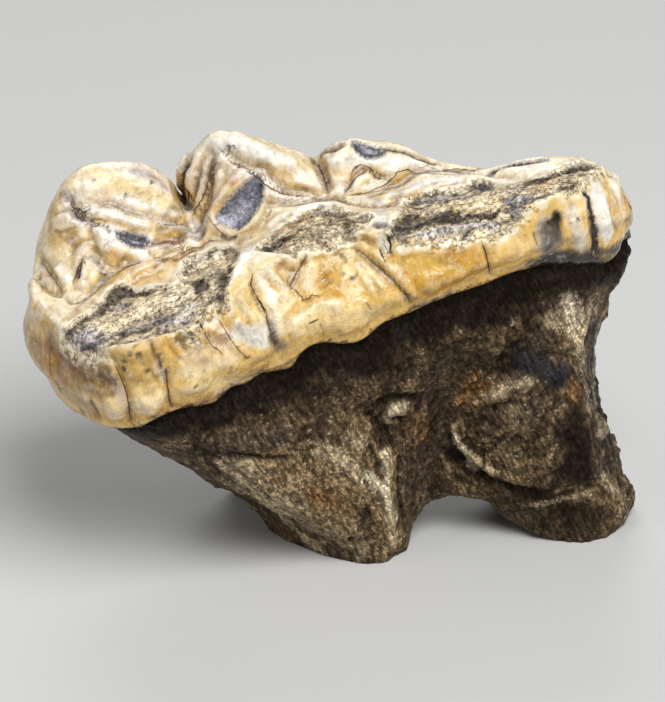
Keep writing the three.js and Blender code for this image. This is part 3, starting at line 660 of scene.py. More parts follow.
CRACKS = (
    ("tongue", (
        ([(-17.2, 5.7), (-17, 5), (-16.8, 3.9), (-16.8, 2.9), (-16.9, 1.5), (-17, -0.4)], 0.75, 0.05),
        ([(-19.2, 2.5), (-19.2, 1.2), (-18.9, -0.6)], 0.5, 0.04),
        ([(-14.2, 6.6), (-14.1, 5.5), (-14, 4.7)], 0.5, 0.05),
        ([(-14.8, 4.8), (-14.6, 4), (-14.5, 3.3)], 0.5, 0.04),
        ([(-13.7, 4.5), (-13.9, 3.6), (-14, 2.6), (-14.1, 1.7), (-14, 0.7)], 0.9, 0.05),
        ([(-12.2, 6.6), (-11.6, 5.4), (-11.2, 4.6)], 0.35, 0.03),
        ([(-10.8, 6.5), (-10.5, 5.8)], 0.9, 0.05),
        ([(-8.9, 4.5), (-8.5, 3.5), (-8.1, 2.6)], 0.6, 0.04),
        ([(-13.2, 6.6), (-12.7, 5.6), (-12.1, 4.5)], 0.3, 0.03),
        ([(-6.1, 7.1), (-6.4, 6.6), (-6.4, 6.2), (-6.3, 5.6)], 0.9, 0.04),
        ([(-6.3, 5.8), (-6.1, 5.1), (-6, 4.6)], 1, 0.08),
        ([(-6, 4.7), (-6.1, 4.2), (-6.1, 3.7), (-6.2, 3.4), (-6, 2.9)], 1, 0.05),
        ([(-6.1, 3.6), (-5.7, 3.7)], 0.9, 0.04),
        ([(-3.4, 3.65), (-2.7, 3.6)], 1, 0.06),
        ([(-2.7, 3.5), (-2.6, 2.4), (-2.7, 1.6)], 0.5, 0.03),
        ([(-2.1, 6.8), (-2.6, 6.2), (-3.2, 5.8), (-3.9, 5.4)], 0.8, 0.05),
        ([(-3.9, 5.4), (-3.5, 5), (-3.2, 4.8), (-2.6, 4.9), (-2, 4.8)], 0.8, 0.04),
        ([(-4.8, 7.1), (-4.3, 6.2), (-3.9, 5.4)], 0.35, 0.03),
        ([(0.8, 3.6), (1.1, 2.6)], 0.5, 0.03),
        ([(1.1, 6.2), (2.1, 5.2), (3, 4.2), (3.7, 2.8), (3.9, 1.8)], 0.55, 0.04),
        ([(3.5, 6.8), (3.6, 6.2), (3.4, 5.5)], 1, 0.1),
        ([(2.8, 5.9), (2.9, 5.3)], 0.9, 0.06),
        ([(7.5, 4.4), (7.9, 3.8), (7.8, 2.8)], 0.4, 0.03),
        ([(9.6, 5.1), (9.7, 4.4), (9.7, 3.5), (9.8, 1.7)], 1, 0.05),
        ([(13.3, 4.5), (13.3, 3.8), (13.4, 3.3)], 0.8, 0.04),
        ([(17.5, 5.3), (17.8, 4.5), (17.8, 3.9), (17.7, 2.7), (17.7, 1.6)], 1, 0.13),
        ([(17.7, 2.2), (17.7, 0.9), (17.5, -0.6)], 1, 0.24),
        ([(19.2, 2.8), (19.3, 1.6), (19.8, -0.5)], 0.4, 0.03),
        ([(19.4, 4.6), (19.9, 3.1), (20.1, 1.8)], 0.3, 0.03),
    )),
    ("biting", (
        ([(-16.4, 2.8), (-16.4, 2.2), (-16.1, 1.7), (-15.6, 1.4)], 0.8, 0.09),
        ([(-15.7, 1.4), (-15, 0.9), (-14.3, 0.6)], 0.7, 0.04),
        ([(-16.7, 3.3), (-16.5, 2.8), (-16.2, 2.3), (-15.7, 1.8), (-15, 1.7)], 0.75, 0.05),
        ([(-7.9, 4.1, 9.5), (-8.2, 3.4, 8.6), (-8.6, 2.6, 7.6), (-9.2, 2, 7)], 0.95, 0.08),
        ([(-7.6, 1.2), (-7.4, 0.5), (-7.1, -0.1), (-6.7, -0.7)], 0.6, 0.04),
        ([(-15.7, 2.2), (-15, 1.8), (-13.9, 1.6), (-12.8, 1.3), (-11.7, 1), (-10.7, 0.8)], 0.4, 0.04),
        ([(-11.7, 1), (-10.7, 0.8), (-9.6, 1.1), (-8.8, 1.8)], 0.7, 0.05),
        ([(-11.9, -0.1), (-10.9, 0.1), (-10, 0.1), (-9, 0.8)], 0.6, 0.04),
        ([(-12.4, -0.4), (-11.7, -0.9), (-10.8, -0.5)], 0.5, 0.03),
        ([(-11, 3.2), (-10, 3), (-9.3, 3.1)], 0.4, 0.03),
        ([(-19.8, 2.6), (-19.4, 1.4), (-19.2, 0.1), (-18.7, -1.5)], 0.6, 0.04),
        ([(-16.7, -0.1), (-17.2, -0.6), (-17.5, -0.9)], 0.9, 0.06),
        ([(-18.7, -1.8), (-18.3, -2.4), (-17.3, -2.2), (-16.5, -1.7), (-15.6, -1.2)], 0.5, 0.04),
        ([(-15.3, -1, 6.2), (-14.5, -1.1, 6.2), (-13.6, -1.1, 6.1), (-12.8, -1, 6.1)], 0.9, 0.05),
        ([(-5.9, 2.8), (-6.2, 2.3), (-6.6, 1.9), (-7.1, 1.5), (-7.7, 1.3), (-8.4, 1.5)], 0.6, 0.08),
        ([(-7.4, 3.5, 10.2), (-7.9, 4, 8.9), (-8.2, 4.6, 7.4), (-8.5, 4.8, 6.4)], 0.8, 0.06),
        ([(-8, 5, 9), (-8.4, 5.6, 7.4)], 0.7, 0.05),
        ([(-5.6, 2.6), (-4.8, 2.1), (-3.6, 1.5), (-2.9, 1.4)], 0.6, 0.07),
        ([(-2.9, 1.4), (-2.2, 0.9), (-1.6, 0.5), (-0.4, 0.2), (1.3, -0.1)], 0.45, 0.05),
        ([(-3.2, 0), (-1.1, -0.3), (0.9, -0.2), (2, -0.9), (3.8, -1.8)], 0.4, 0.04),
        ([(0.9, 3.7, 7.4), (1, 2.6, 7.3), (1.1, 1.6, 7), (1.1, 0.9, 6.6), (1, 0.2, 6.2)], 0.8, 0.06),
        ([(2, -0.2), (2.5, 0), (3.1, 0.3), (3.6, 0.4), (4.2, 0.4), (4.6, 0.1), (5.4, -0.2)], 0.7, 0.05),
        ([(5.3, 1.2), (6.7, 1.1), (7.8, 0.9), (9.2, 0.8)], 0.8, 0.06),
        ([(3.1, 2), (2.3, 2.1), (1.4, 3.2)], 0.7, 0.05),
        ([(3.8, -0.8), (5.1, -0.6), (6.1, -0.5), (7, -0.2), (8.3, 0.2), (10.1, 0.3), (12.3, -0.8)], 0.5,
         0.04),
        ([(9.3, 0.6), (10.5, 0.7), (11.7, 0.3)], 0.8, 0.05),
        ([(12.2, -0.6), (13.2, -0.2), (14.6, -0.6), (16.3, -1.1)], 1, 0.12),
        ([(19.8, -3.9, 4), (20.5, -3.2, 2.3), (21.2, -2.7, 0.8), (21.4, -3, 0.2)], 0.7, 0.04),
        ([(-16.5, 2.7), (-16.1, 2.1), (-15.7, 1.6), (-15.1, 1.2), (-14.4, 0.8)], 0.8, 0.05),
        ([(-18, -1.2), (-17.3, -0.4), (-16.7, -0.2)], 0.7, 0.05),
        ([(-6, 2.8, 10.7), (-6.5, 2.4, 9.4), (-7.3, 1.8, 8.2), (-8.2, 2, 7), (-8.9, 2.1, 6.4)], 0.7, 0.06),
        ([(-5.7, 2.5, 10.7), (-4.6, 1.8, 9.8), (-3.7, 1.2, 9), (-3, 0.7, 8.2), (-1.8, 0.3, 7.2),
         (0.4, 0.2, 6.1)], 0.75, 0.06),
        ([(-7.9, 4.2, 9.5), (-8.4, 4.4, 8), (-8.6, 5.6, 6.2)], 0.7, 0.05),
        ([(-12.9, -1.8), (-11.5, -1.2), (-9.6, -0.4), (-8.4, -0.1), (-6.9, -0.7)], 0.55, 0.06),
        ([(-12.4, -1.4), (-10.8, -0.9), (-9.4, 0.1)], 0.5, 0.04),
        ([(2.5, 0.2), (3.2, 0.6), (3.9, 0.7), (4.6, 0.3), (5.3, -0.2)], 0.65, 0.05),
        ([(1, 0), (2.3, -0.4), (3.8, -0.5), (5.5, -0.2), (6.9, 0.1), (8.6, -0.2), (9.9, -0.5),
         (10.8, -1.2)], 0.7, 0.05),
    )),
    ("tongue", (
        ([(-11.7, 6.2), (-11.2, 4.9)], 0.6, 0.04),
        ([(-10.6, 6.5), (-10.4, 5.1), (-9.6, 3.5)], 0.7, 0.05),
        ([(-9.4, 6.3), (-9, 4.8), (-8.5, 3.4)], 0.7, 0.05),
    )),
    ("rear", (
        ([(-4, 3), (-4.2, 1.3), (-4.4, -0.7)], 0.7, 0.05),
    )),
    ("root tongue", (
        ([(-9.4, 12), (-8.4, 11.7), (-6.9, 11.2), (-4.8, 10.7)], 0.9, 0.06),
    )),
    ("cheek", (
        ([(-17, 4.6), (-16.8, 2), (-17, -0.6)], 0.6, 0.05),
        ([(-11.6, 5), (-11.9, 2.4), (-11.6, -0.8)], 0.7, 0.05),
        ([(-8.6, 5), (-8.5, 2), (-8.2, -0.8)], 0.8, 0.06),
        ([(-3, 6), (-3.2, 3), (-2.9, 0.4)], 0.5, 0.04),
        ([(1, 5.6), (1.2, 2), (1.4, -1)], 0.8, 0.06),
        ([(5.6, 4.4), (5.4, 1.8), (5.6, -0.8)], 0.5, 0.04),
        ([(13.4, 2.2), (13.2, 0), (13.5, -1.6)], 0.7, 0.05),
    )),
    ("front", (
        ([(-4.6, 4.6), (-4.9, 2), (-4.6, -0.6)], 0.6, 0.05),
        ([(3.2, 4.4), (3, 1.8), (3.3, -0.6)], 0.5, 0.04),
    )),
    ("rear", (
        ([(-3.8, 2.4), (-4, 0), (-3.8, -1.6)], 0.7, 0.05),
    )),
)
CRACK_REACH = 0.9
CRACK_TAPER = (-0.1, 0.25)
NO_CRACK = (20, CRACK_REACH, 0)

# How far off the nearest crack each point lies, counted in that crack's own half widths and signed by
# side, then how far off in mm, and how black that crack is.
crack = np.zeros((len(skin), 3)) + NO_CRACK
for side, rows in CRACKS:
    for path, dirt, half_width in rows:
        line, share = laid(side, path)
        spots, gap, step = near_line(line, CRACK_REACH)
        ahead = np.gradient(line, axis=0)
        sideways = np.cross(ahead[step], facing[spots])
        sideways /= np.linalg.norm(sideways, axis=1)[:, None] + 1e-9
        offset = ((skin[spots] - line[step]) * sideways).sum(1) / half_width
        nearer = gap < crack[spots, 1]
        ink = dirt * ends_fade(share, step, *CRACK_TAPER)
        crack[spots[nearer]] = np.stack([offset, gap, ink], 1)[nearer]

# --- Staining --------------------------------------------------------------------------------------
# Minerals in the ground have stained the tooth: the enamel from chalk white through honey to rust, the
# dentine of the facets cream, ash and slate, and the roots nearly black under the neck and tan below;
# that black band is partly painted shadow under the enamel lip. Creases and hollows are darkened as
# painted shade and enamel ridges lightened as painted highlight, and the middle cusp's slate gets a
# painted highlight and a painted shade.

PIGMENTS = {
    "chalk": (0.84, 0.76, 0.63), "ivory": (0.78, 0.69, 0.51), "cream": (0.80, 0.64, 0.36),
    "straw": (0.68, 0.48, 0.21), "honey": (0.62, 0.41, 0.12), "mustard": (0.50, 0.34, 0.12),
    "amber": (0.57, 0.33, 0.06), "orange": (0.46, 0.17, 0.02), "rust": (0.18, 0.07, 0.02),
    "tea": (0.27, 0.17, 0.08), "rose": (0.60, 0.46, 0.34), "olive": (0.38, 0.27, 0.12),
    "bluish": (0.66, 0.64, 0.62), "lilac": (0.42, 0.37, 0.37), "ash": (0.32, 0.26, 0.18),
    "stone": (0.16, 0.13, 0.10), "umber": (0.09, 0.06, 0.035), "slate": (0.15, 0.15, 0.19),
    "soot": (0.018, 0.014, 0.012), "bone": (0.54, 0.45, 0.31), "grain": (0.68, 0.58, 0.40),
    "peat": (0.012, 0.008, 0.005), "bark": (0.055, 0.036, 0.020), "tan": (0.21, 0.145, 0.075),
    "fibre": (0.40, 0.31, 0.19), "mauve": (0.07, 0.052, 0.040), "russet": (0.19, 0.095, 0.035),
    "gold": (0.74, 0.50, 0.17), "milk": (0.88, 0.84, 0.78), "steel": (0.38, 0.37, 0.43),
    "midnight": (0.026, 0.025, 0.031),
}
WASHES = (
    # Path in mm, reach in mm, pigment, strength.
    ("biting", (
        ([(-17, 3.2), (-14.2, 3.4)], 1, "cream", 0.6),
        ([(-15.4, 2.9), (-14.3, 2.6)], 0.5, "chalk", 0.8),
        ([(-16.6, 2.9), (-16.2, 2.7)], 0.4, "chalk", 0.7),
        ([(-14, 2.8), (-12.4, 2.6), (-11.4, 2)], 0.7, "cream", 0.7),
        ([(-14.8, 2.2), (-13.6, 2.1), (-12, 1.7)], 0.35, "rose", 0.6),
        ([(-16.9, 3.2), (-16.8, 2), (-17, 0.8)], 0.5, "tea", 0.6),
        ([(-11.5, 3.2), (-10.4, 3), (-9.6, 2.6)], 0.6, "lilac", 0.6),
        ([(-11.6, 2.4), (-10.2, 2)], 0.6, "bone", 0.6),
        ([(-10.3, 2.5), (-9.6, 2.1)], 0.35, "chalk", 0.8),
        ([(-17.8, 3.2), (-18.2, 1.6)], 0.9, "honey", 0.7),
        ([(-17.4, 1.8), (-16.8, 1)], 0.7, "mustard", 0.5),
        ([(-16.5, 3), (-16.4, 2.2), (-16, 1.6), (-15.6, 1.4)], 0.5, "lilac", 0.9),
        ([(-16.4, 2.5), (-16.2, 1.9), (-15.8, 1.6)], 0.22, "stone", 0.8),
        ([(-14.4, 1.9), (-12.9, 1.6), (-11.7, 1.2), (-10.8, 1), (-9.7, 1.1), (-8.8, 1.8)],
         0.25, "tea", 0.8),
        ([(-11.6, 0.9), (-10.4, 0.5), (-9.6, 0.8)], 0.4, "amber", 0.5),
        ([(-15.4, 1.8), (-14.6, 1.4), (-13.6, 1.1), (-12.6, 0.8), (-11.8, 0.8)], 0.45, "milk", 0.75),
        ([(-13.9, 3.1), (-12.4, 2.7), (-11, 2.2), (-9.8, 1.8)], 0.6, "cream", 0.7),
        ([(-12, 1.6), (-10.6, 1.3), (-9.4, 1.6)], 0.35, "cream", 0.8),
        ([(-15.6, 1.2), (-15, 0.9), (-14.3, 0.6)], 0.16, "stone", 0.7),
        ([(-14, 0.1), (-13, -0.3), (-12.2, -0.4)], 0.2, "straw", 0.7),
        ([(-15.2, 1, 8.7), (-14.2, 0.8, 8.3), (-13, 0.5, 7.6), (-12, 0.3, 7.1)], 0.55, "milk", 0.8),
        ([(-10.9, 0.7, 7.4), (-9.7, 0.9, 6.9), (-8.6, 1.6, 6.2)], 0.3, "rust", 0.6),
        ([(-11.4, 0.1, 6.6), (-10.2, 0.3, 6.4), (-9, 1.2, 5.9)], 0.22, "umber", 0.6),
        ([(-12.4, -1.4, 6.4), (-11.2, -0.7, 6), (-10, -0.2, 5.8)], 0.25, "rust", 0.5),
        ([(-8.2, 4.2, 7.6), (-8.4, 3.4, 7.4), (-8.8, 2.6, 6.8)], 0.4, "ivory", 0.6),
        ([(-8, 2.7, 8.5), (-7.9, 2.2, 8)], 0.3, "ivory", 0.6),
        ([(-18.5, 0), (-18.2, -1)], 0.6, "chalk", 0.9),
        ([(-19.6, 1.8), (-19.4, 0.8), (-19.1, -0.4), (-18.7, -1.4)], 0.3, "tea", 0.65),
        ([(-16.6, 0.7), (-17.2, -0.4), (-17.6, -1.4)], 0.7, "olive", 0.35),
        ([(-17, -0.3), (-17.3, -0.9)], 0.22, "umber", 0.85),
        ([(-16.2, -0.1), (-15.9, -0.5), (-15.6, -1)], 0.3, "umber", 0.85),
        ([(-14.6, -0.6), (-14.3, -0.9)], 0.3, "straw", 0.8),
        ([(-16, -1.2), (-15.4, -1.6)], 0.4, "bluish", 0.9),
        ([(-14.9, 0.3), (-13.8, 0), (-12.6, -0.7)], 0.6, "milk", 0.8),
        ([(-10.7, 1), (-10, 1.5), (-9.2, 1.9)], 0.3, "umber", 0.6),
        ([(-15.7, -1.3), (-14.9, -1.4), (-14, -1), (-13.2, -1)], 0.16, "stone", 0.8),
        ([(-18.6, -4.6), (-17.1, -3.2), (-15.7, -2.2)], 0.6, "mustard", 0.6),
        ([(-19.2, -4.4), (-17.8, -3.2), (-16.6, -2.2)], 0.3, "cream", 0.6),
        ([(-15.7, -1.9), (-14.3, -1.9), (-12.5, -1.7), (-11.1, -1.3), (-9.6, -0.5)], 0.7, "honey", 0.8),
        ([(-14, -2.3), (-12, -2.4)], 0.7, "straw", 0.8),
        ([(-12.2, -1.7), (-11.2, -1.3), (-10.2, -0.9), (-9.2, -0.4)], 0.25, "rust", 0.7),
        ([(-19.8, -5), (-18.6, -4), (-17.4, -3)], 0.25, "tea", 0.45),
        ([(-20.9, 0.5), (-20.9, -2), (-20.2, -3.6)], 0.8, "straw", 0.4),
        ([(-20.4, -3), (-19.6, -4)], 0.4, "tea", 0.35),
        ([(-8, 1.1), (-8.9, 1.2), (-10, 0.9), (-11.2, 0.5)], 0.4, "ash", 0.6),
        ([(-8, 0.6), (-9.1, 0.7), (-10.6, 0.1), (-11.9, -0.2)], 0.35, "rust", 0.75),
        ([(-7.7, 0.9), (-8.4, 0.7)], 0.4, "umber", 0.7),
        ([(-9.4, 0.2), (-8.2, 0.1), (-7.2, 0)], 0.5, "straw", 0.5),
        ([(-11.4, -0.9), (-10.2, -0.6)], 0.3, "ivory", 0.7),
        ([(-5.9, 2.8), (-6.2, 2.3), (-6.6, 1.9), (-7.1, 1.5), (-7.7, 1.3), (-8.4, 1.5)], 0.5, "tea", 0.65),
        ([(-5.8, 2.5), (-6, 2.1)], 0.4, "stone", 0.8),
        ([(-6.5, 2.6, 9.9), (-7.2, 2.2, 8.2)], 0.35, "rust", 0.5),
        ([(-6.9, 2.7, 9.4), (-7.6, 2.4, 8.2), (-8.1, 2.4, 7)], 0.35, "stone", 0.7),
        ([(-7.4, 3.5, 10.2), (-7.9, 3.9, 8.9), (-8.2, 4.2, 7.6), (-8.4, 4.4, 6.8)], 0.4, "ash", 0.7),
        ([(-8.3, 5.2, 8), (-8.5, 5.2, 7), (-8.6, 4.6, 6)], 0.6, "tea", 0.7),
        ([(-7.9, 4.1, 9.5), (-8.1, 3.4, 8.6), (-8.3, 3.4, 7.4), (-8.8, 3, 6.7)], 0.35, "soot", 0.85),
        ([(-8.5, 4.6, 6.6), (-8.6, 4, 6), (-8.7, 3.6, 5.8)], 0.45, "soot", 0.95),
        ([(-8.5, 1.6), (-8.8, 0.8), (-9, 0.2)], 0.5, "milk", 0.85),
        ([(-6.8, 3.3, 10.6), (-7.3, 3.1, 9.4)], 0.3, "chalk", 0.7),
        ([(-5.6, 2), (-5.5, 1.4)], 0.7, "rose", 0.6),
        ([(-5.6, 2.7), (-4.1, 2.1), (-2.4, 1.6)], 0.5, "milk", 0.85),
        ([(-6.8, 1.4), (-6.2, 1.3)], 0.5, "rose", 0.7),
        ([(-6, 1.5), (-5.6, 1.2)], 0.5, "straw", 0.6),
        ([(-6.1, 1.7, 9.3), (-5.6, 1.8, 9.7), (-4.8, 1.3, 9.6)], 0.7, "rose", 0.6),
        ([(-5.7, 1.8, 9.7), (-5.3, 1.7, 9.9)], 0.4, "ivory", 0.8),
        ([(-5.7, 1.1, 9.1), (-5.1, 1, 9.2)], 0.32, "orange", 1),
        ([(-5.5, 2.4), (-4.8, 2), (-3.9, 1.6)], 0.35, "stone", 0.45),
        ([(-3.6, 1.4), (-2.9, 1.2), (-2.2, 0.8), (-1.6, 0.5)], 0.4, "stone", 0.65),
        ([(-2.9, 0.9), (-2.2, 0.4), (-1.4, 0.2)], 0.3, "honey", 0.7),
        ([(-1.6, 0.4), (-0.4, 0.1), (1.3, -0.2)], 0.3, "ash", 0.7),
        ([(-3.2, 0.6), (-2.2, 0.1), (-0.6, -0.2)], 0.4, "bone", 0.5),
        ([(-4.4, 2.4), (-2.4, 1.8), (-0.4, 1.2), (0.5, 0.8)], 0.8, "milk", 0.6),
        ([(-3.8, 3), (-1.6, 2.4), (0, 1.8)], 0.6, "cream", 0.7),
        ([(-7, 0.1), (-6.7, -0.4), (-6, -0.9), (-5, -1), (-4, -0.7), (-3.3, -0.1), (-3.1, 0.5)], 0.4,
         "mustard", 0.8),
        ([(-6.9, -0.5), (-6.6, -0.8)], 0.3, "umber", 0.9),
        ([(-3.4, 0.2), (-3.3, -0.3), (-3.8, -0.8)], 0.22, "umber", 0.6),
        ([(-3.2, 0), (-1.1, -0.3), (0.9, -0.2), (2, -0.9), (3.8, -1.8)], 0.2, "tea", 0.6),
        ([(0.2, -0.2), (1.9, -0.6)], 0.3, "umber", 0.5),
        ([(-3.6, -1.1), (-2, -0.8), (0, -0.8)], 0.3, "chalk", 0.6),
        ([(0.9, 3.4, 7.4), (1, 2.6, 7.3), (1.1, 1.6, 7), (1.1, 0.9, 6.6)], 0.35, "ash", 0.8),
        ([(1.2, 3, 7.3), (1.3, 2, 7.1)], 0.2, "grain", 0.8),
        ([(2, 1.2), (3, 0.8), (4.2, 0.9), (5.4, 0.5)], 0.8, "milk", 0.8),
        ([(5.2, 0.2), (6.4, 0.4), (7.8, 0.5), (9.6, 0.6)], 0.35, "milk", 0.8),
        ([(3.8, -0.5), (4.8, -0.4)], 0.4, "milk", 0.7),
        ([(1.4, 3.2), (2.3, 2.2), (3, 2.2)], 0.3, "umber", 0.6),
        ([(2, -0.2), (2.5, 0), (3.1, 0.3), (3.6, 0.4), (4.2, 0.4), (4.6, 0.1), (5.4, -0.2)], 0.2, "ash",
         0.8),
        ([(5.5, 1.2), (6.7, 1.1), (7.8, 0.9), (9.2, 0.8)], 0.3, "umber", 0.6),
        ([(6.4, 0.4), (9, 0), (11.6, -0.6)], 0.5, "bluish", 0.6),
        ([(3.8, -0.8), (5.1, -0.6), (6.1, -0.5), (7, -0.2), (8.3, 0.2), (10.1, 0.3), (12.3, -0.8)], 0.2,
         "ash", 0.7),
        ([(3.9, -1.4), (4.9, -2), (5.6, -1.5)], 0.6, "lilac", 0.6),
        ([(4.1, -2), (3.9, -4), (3.6, -6)], 0.5, "bluish", 0.7),
        ([(6.4, -1), (8, -1), (10, -1.2)], 0.45, "bluish", 0.6),
        ([(3.1, -5.6), (3.7, -6), (3.9, -6.6)], 0.4, "slate", 0.85),
        ([(9.4, 0.6), (11.8, 0.2)], 0.25, "umber", 0.7),
        ([(12.2, -0.6), (13.2, -0.2), (14.6, -0.6), (16.4, -1.1)], 0.35, "slate", 0.9),
        ([(14.6, -1.6), (16, -2)], 0.5, "bluish", 0.6),
        ([(-4.4, 1.2, 9.2), (-2.8, 0.6, 8.2), (-1.2, 0.2, 7.2), (0.4, -0.2, 6.4)], 0.8, "milk", 0.55),
        ([(-6, 1.4, 8.8), (-5.4, 0.9, 8.3)], 0.5, "cream", 0.5),
        ([(-5.8, 2.6, 10.6), (-4.4, 2.2, 10.6), (-3, 1.8, 10)], 0.7, "milk", 0.5),
        ([(-12.4, 2.2, 9.2), (-11.2, 1.6, 8.2), (-10.2, 1.6, 7.4)], 0.9, "milk", 0.35),
        ([(20.4, -3, 3), (21, -2.4, 1.2), (21.2, -2.4, 0)], 1, "milk", 0.5),
    )),
    ("tongue", (
        ([(17.9, 4.2), (18.2, 3), (18.4, 1.4)], 0.7, "milk", 0.5),
        ([(-18.4, -0.4), (-15, 0.9), (-12, 1), (-8, 1.4), (-4.4, 1.9), (-1, 1.4), (1, 1.9)], 1.2, "gold",
         0.9),
        ([(-15.6, 0.5), (-14, 0.9), (-12, 0.5), (-9.6, 0.8), (-7, 1.1)], 0.4, "rust", 0.5),
        ([(-21.4, 4), (-20.7, 3.4), (-19.9, 3.2), (-18.8, 3.3), (-17.8, 3.6)], 0.5, "rust", 0.75),
        ([(-21.2, 3), (-20.6, 2), (-20, 1.2), (-19.6, 0)], 0.9, "tea", 0.6),
        ([(-20.8, 3.8), (-20.1, 3.9), (-18.8, 4), (-17.4, 4)], 0.6, "tea", 0.8),
    )),
    ("biting", (
        ([(-19.9, -5.2), (-18.9, -6.9), (-18.2, -7.8), (-17.4, -8.6)], 0.35, "chalk", 0.8),
    )),
    ("tongue", (
        ([(-20.4, 2.6), (-19.8, 1.6)], 0.5, "rust", 0.5),
    )),
    ("biting", (
        ([(-20.2, 0.6), (-20, -0.6), (-19.6, -1.4)], 0.5, "tea", 0.45),
    )),
    ("tongue", (
        ([(-20.2, 3.4), (-19.4, 3), (-18.6, 3.4)], 0.7, "olive", 0.7),
        ([(-21.1, 4.6), (-20.5, 4.8)], 0.5, "amber", 0.5),
        ([(-20.7, 5), (-20.4, 5.1)], 0.3, "chalk", 0.7),
        ([(-19.8, 4.4), (-18.4, 4.6), (-17.6, 5)], 0.6, "olive", 0.5),
        ([(-20.8, 3.6), (-20, 2), (-19, 0.6)], 1.2, "mustard", 0.6),
        ([(-19.6, 3.8), (-18.2, 3)], 1.2, "olive", 0.45),
        ([(-20.1, 4.6), (-18.8, 4.6), (-17.6, 4.5)], 0.6, "tea", 0.85),
        ([(-18.4, 4.2), (-17.6, 4), (-17.2, 4.2)], 0.3, "rust", 0.9),
        ([(-19.8, 3.4), (-18.6, 2.9), (-17.8, 3.2)], 0.6, "tea", 0.5),
        ([(-17.2, 3.6), (-17.2, 2.8)], 0.5, "lilac", 0.8),
        ([(-16, 3.4), (-13, 4), (-10, 4)], 1.6, "mustard", 0.35),
        ([(-18.2, 2.6), (-17.8, 1)], 0.8, "cream", 0.8),
        ([(-19.9, 0.6), (-19.7, -0.4)], 0.35, "chalk", 0.6),
        ([(-20.2, 0.4), (-19.9, -0.6)], 0.3, "stone", 0.6),
        ([(-16.6, 5.6), (-15.4, 5), (-14.7, 5.6)], 0.9, "mustard", 0.8),
        ([(-16.4, 4.4), (-14.8, 3.9)], 0.6, "mustard", 0.5),
        ([(-15.8, 3.2), (-14.6, 2.4)], 0.7, "cream", 0.7),
        ([(-18.6, 0.2), (-17.6, 0.4), (-15.6, 1.2), (-13, 1)], 0.6, "amber", 0.45),
        ([(-14.2, 4.7), (-14, 3.8)], 0.4, "lilac", 0.7),
        ([(-13.8, 6.2), (-13.6, 5.2)], 0.35, "mustard", 0.6),
        ([(-12.7, 6.3), (-12.1, 5)], 0.4, "mustard", 0.9),
        ([(-11.6, 6), (-11.1, 4.9)], 0.35, "tea", 0.7),
        ([(-11.9, 6.4), (-11.4, 6)], 0.3, "tea", 0.6),
        ([(-12.8, 3.8), (-11.4, 3.4), (-9, 3.2)], 0.6, "chalk", 0.5),
        ([(-11.3, 4.3), (-10.8, 3.8)], 0.3, "tea", 0.5),
        ([(-10.4, 5.4), (-9.4, 4.4)], 0.5, "rose", 0.6),
        ([(-13.1, 6.6), (-12.7, 5.4)], 0.4, "amber", 0.8),
        ([(-11.9, 6.5), (-11.5, 5.4)], 0.35, "lilac", 0.7),
        ([(-12.2, 6.7), (-11.8, 5.8), (-11.4, 5)], 0.18, "umber", 0.85),
        ([(-14.3, 6.6), (-14.2, 5.8), (-14, 4.9)], 0.2, "umber", 0.8),
        ([(-10.8, 6.3), (-10.4, 5.7), (-10.1, 4.9)], 0.16, "umber", 0.8),
        ([(-10.2, 6.2), (-9.4, 5.1)], 0.22, "milk", 0.8),
        ([(-9.6, 6.1), (-8.8, 4.7)], 0.22, "milk", 0.8),
        ([(-9.4, 6.1), (-8.6, 5.2)], 0.6, "mustard", 0.5),
        ([(-8.2, 4.6), (-6.8, 3.4)], 0.8, "bluish", 0.8),
        ([(-8, 6.6), (-6.9, 5.2)], 0.6, "ivory", 0.7),
        ([(-8, 5), (-7.8, 4.3)], 0.4, "lilac", 0.7),
        ([(-7.5, 4.3), (-6.9, 3.3)], 0.5, "bluish", 0.9),
    )),
    ("biting", (
        ([(-5.6, -3.6), (-6.2, -4.9), (-7.2, -6.4), (-8.3, -7.7)], 0.4, "milk", 0.9),
        ([(-6.1, -1.4), (-6.3, -2.4), (-6.6, -4.4), (-7.6, -6.2)], 0.35, "olive", 0.75),
    )),
    ("tongue", (
        ([(-5.8, 6.6), (-5.5, 5), (-5.8, 3.7)], 0.6, "milk", 0.6),
        ([(-8.6, 2.4), (-7.4, 2.2), (-6.4, 1.9)], 0.7, "straw", 0.7),
        ([(-5.9, 6.2), (-5.2, 4.8)], 0.6, "mustard", 0.45),
        ([(-5.1, 7), (-4.7, 6.2), (-4.3, 5.5)], 0.28, "chalk", 0.9),
        ([(-6.1, 3.9), (-6, 3.1), (-5.7, 2.5)], 0.6, "stone", 0.8),
        ([(-6.1, 3.6), (-6, 3)], 0.3, "soot", 0.8),
        ([(-5.7, 6.3), (-5.1, 5.2)], 0.3, "milk", 0.9),
        ([(-4, 6.9), (-3.3, 6)], 0.6, "mustard", 0.5),
        ([(-3.7, 5.6), (-3.3, 6)], 0.35, "tea", 0.6),
        ([(-2.4, 6.7), (-2.3, 6.2)], 0.25, "tea", 0.7),
        ([(-2.8, 5.6), (-2.2, 5.2)], 0.5, "rose", 0.6),
        ([(-1.6, 5.4), (-1, 4.8)], 1, "amber", 0.9),
        ([(-1, 6), (-0.2, 5)], 0.8, "honey", 0.8),
        ([(-0.2, 6.4), (0.4, 5.8)], 0.4, "tea", 0.6),
        ([(-4.8, 5.2), (-4.3, 5)], 0.35, "tea", 0.6),
        ([(-4.9, 3.9), (-2.8, 4.3), (-1.2, 4.1)], 0.6, "ivory", 0.7),
        ([(-3.2, 2.4), (-2.7, 1.8)], 0.5, "amber", 0.5),
        ([(0.6, 6.6), (1.8, 6.6), (2.5, 6.2)], 0.45, "mustard", 0.9),
        ([(-0.6, 4.8), (0.4, 4.4), (1.6, 3.6)], 1.1, "honey", 0.75),
        ([(-0.2, 4.7), (0.2, 4.4)], 0.5, "amber", 0.6),
        ([(0, 4), (1.4, 2.6)], 0.8, "cream", 0.4),
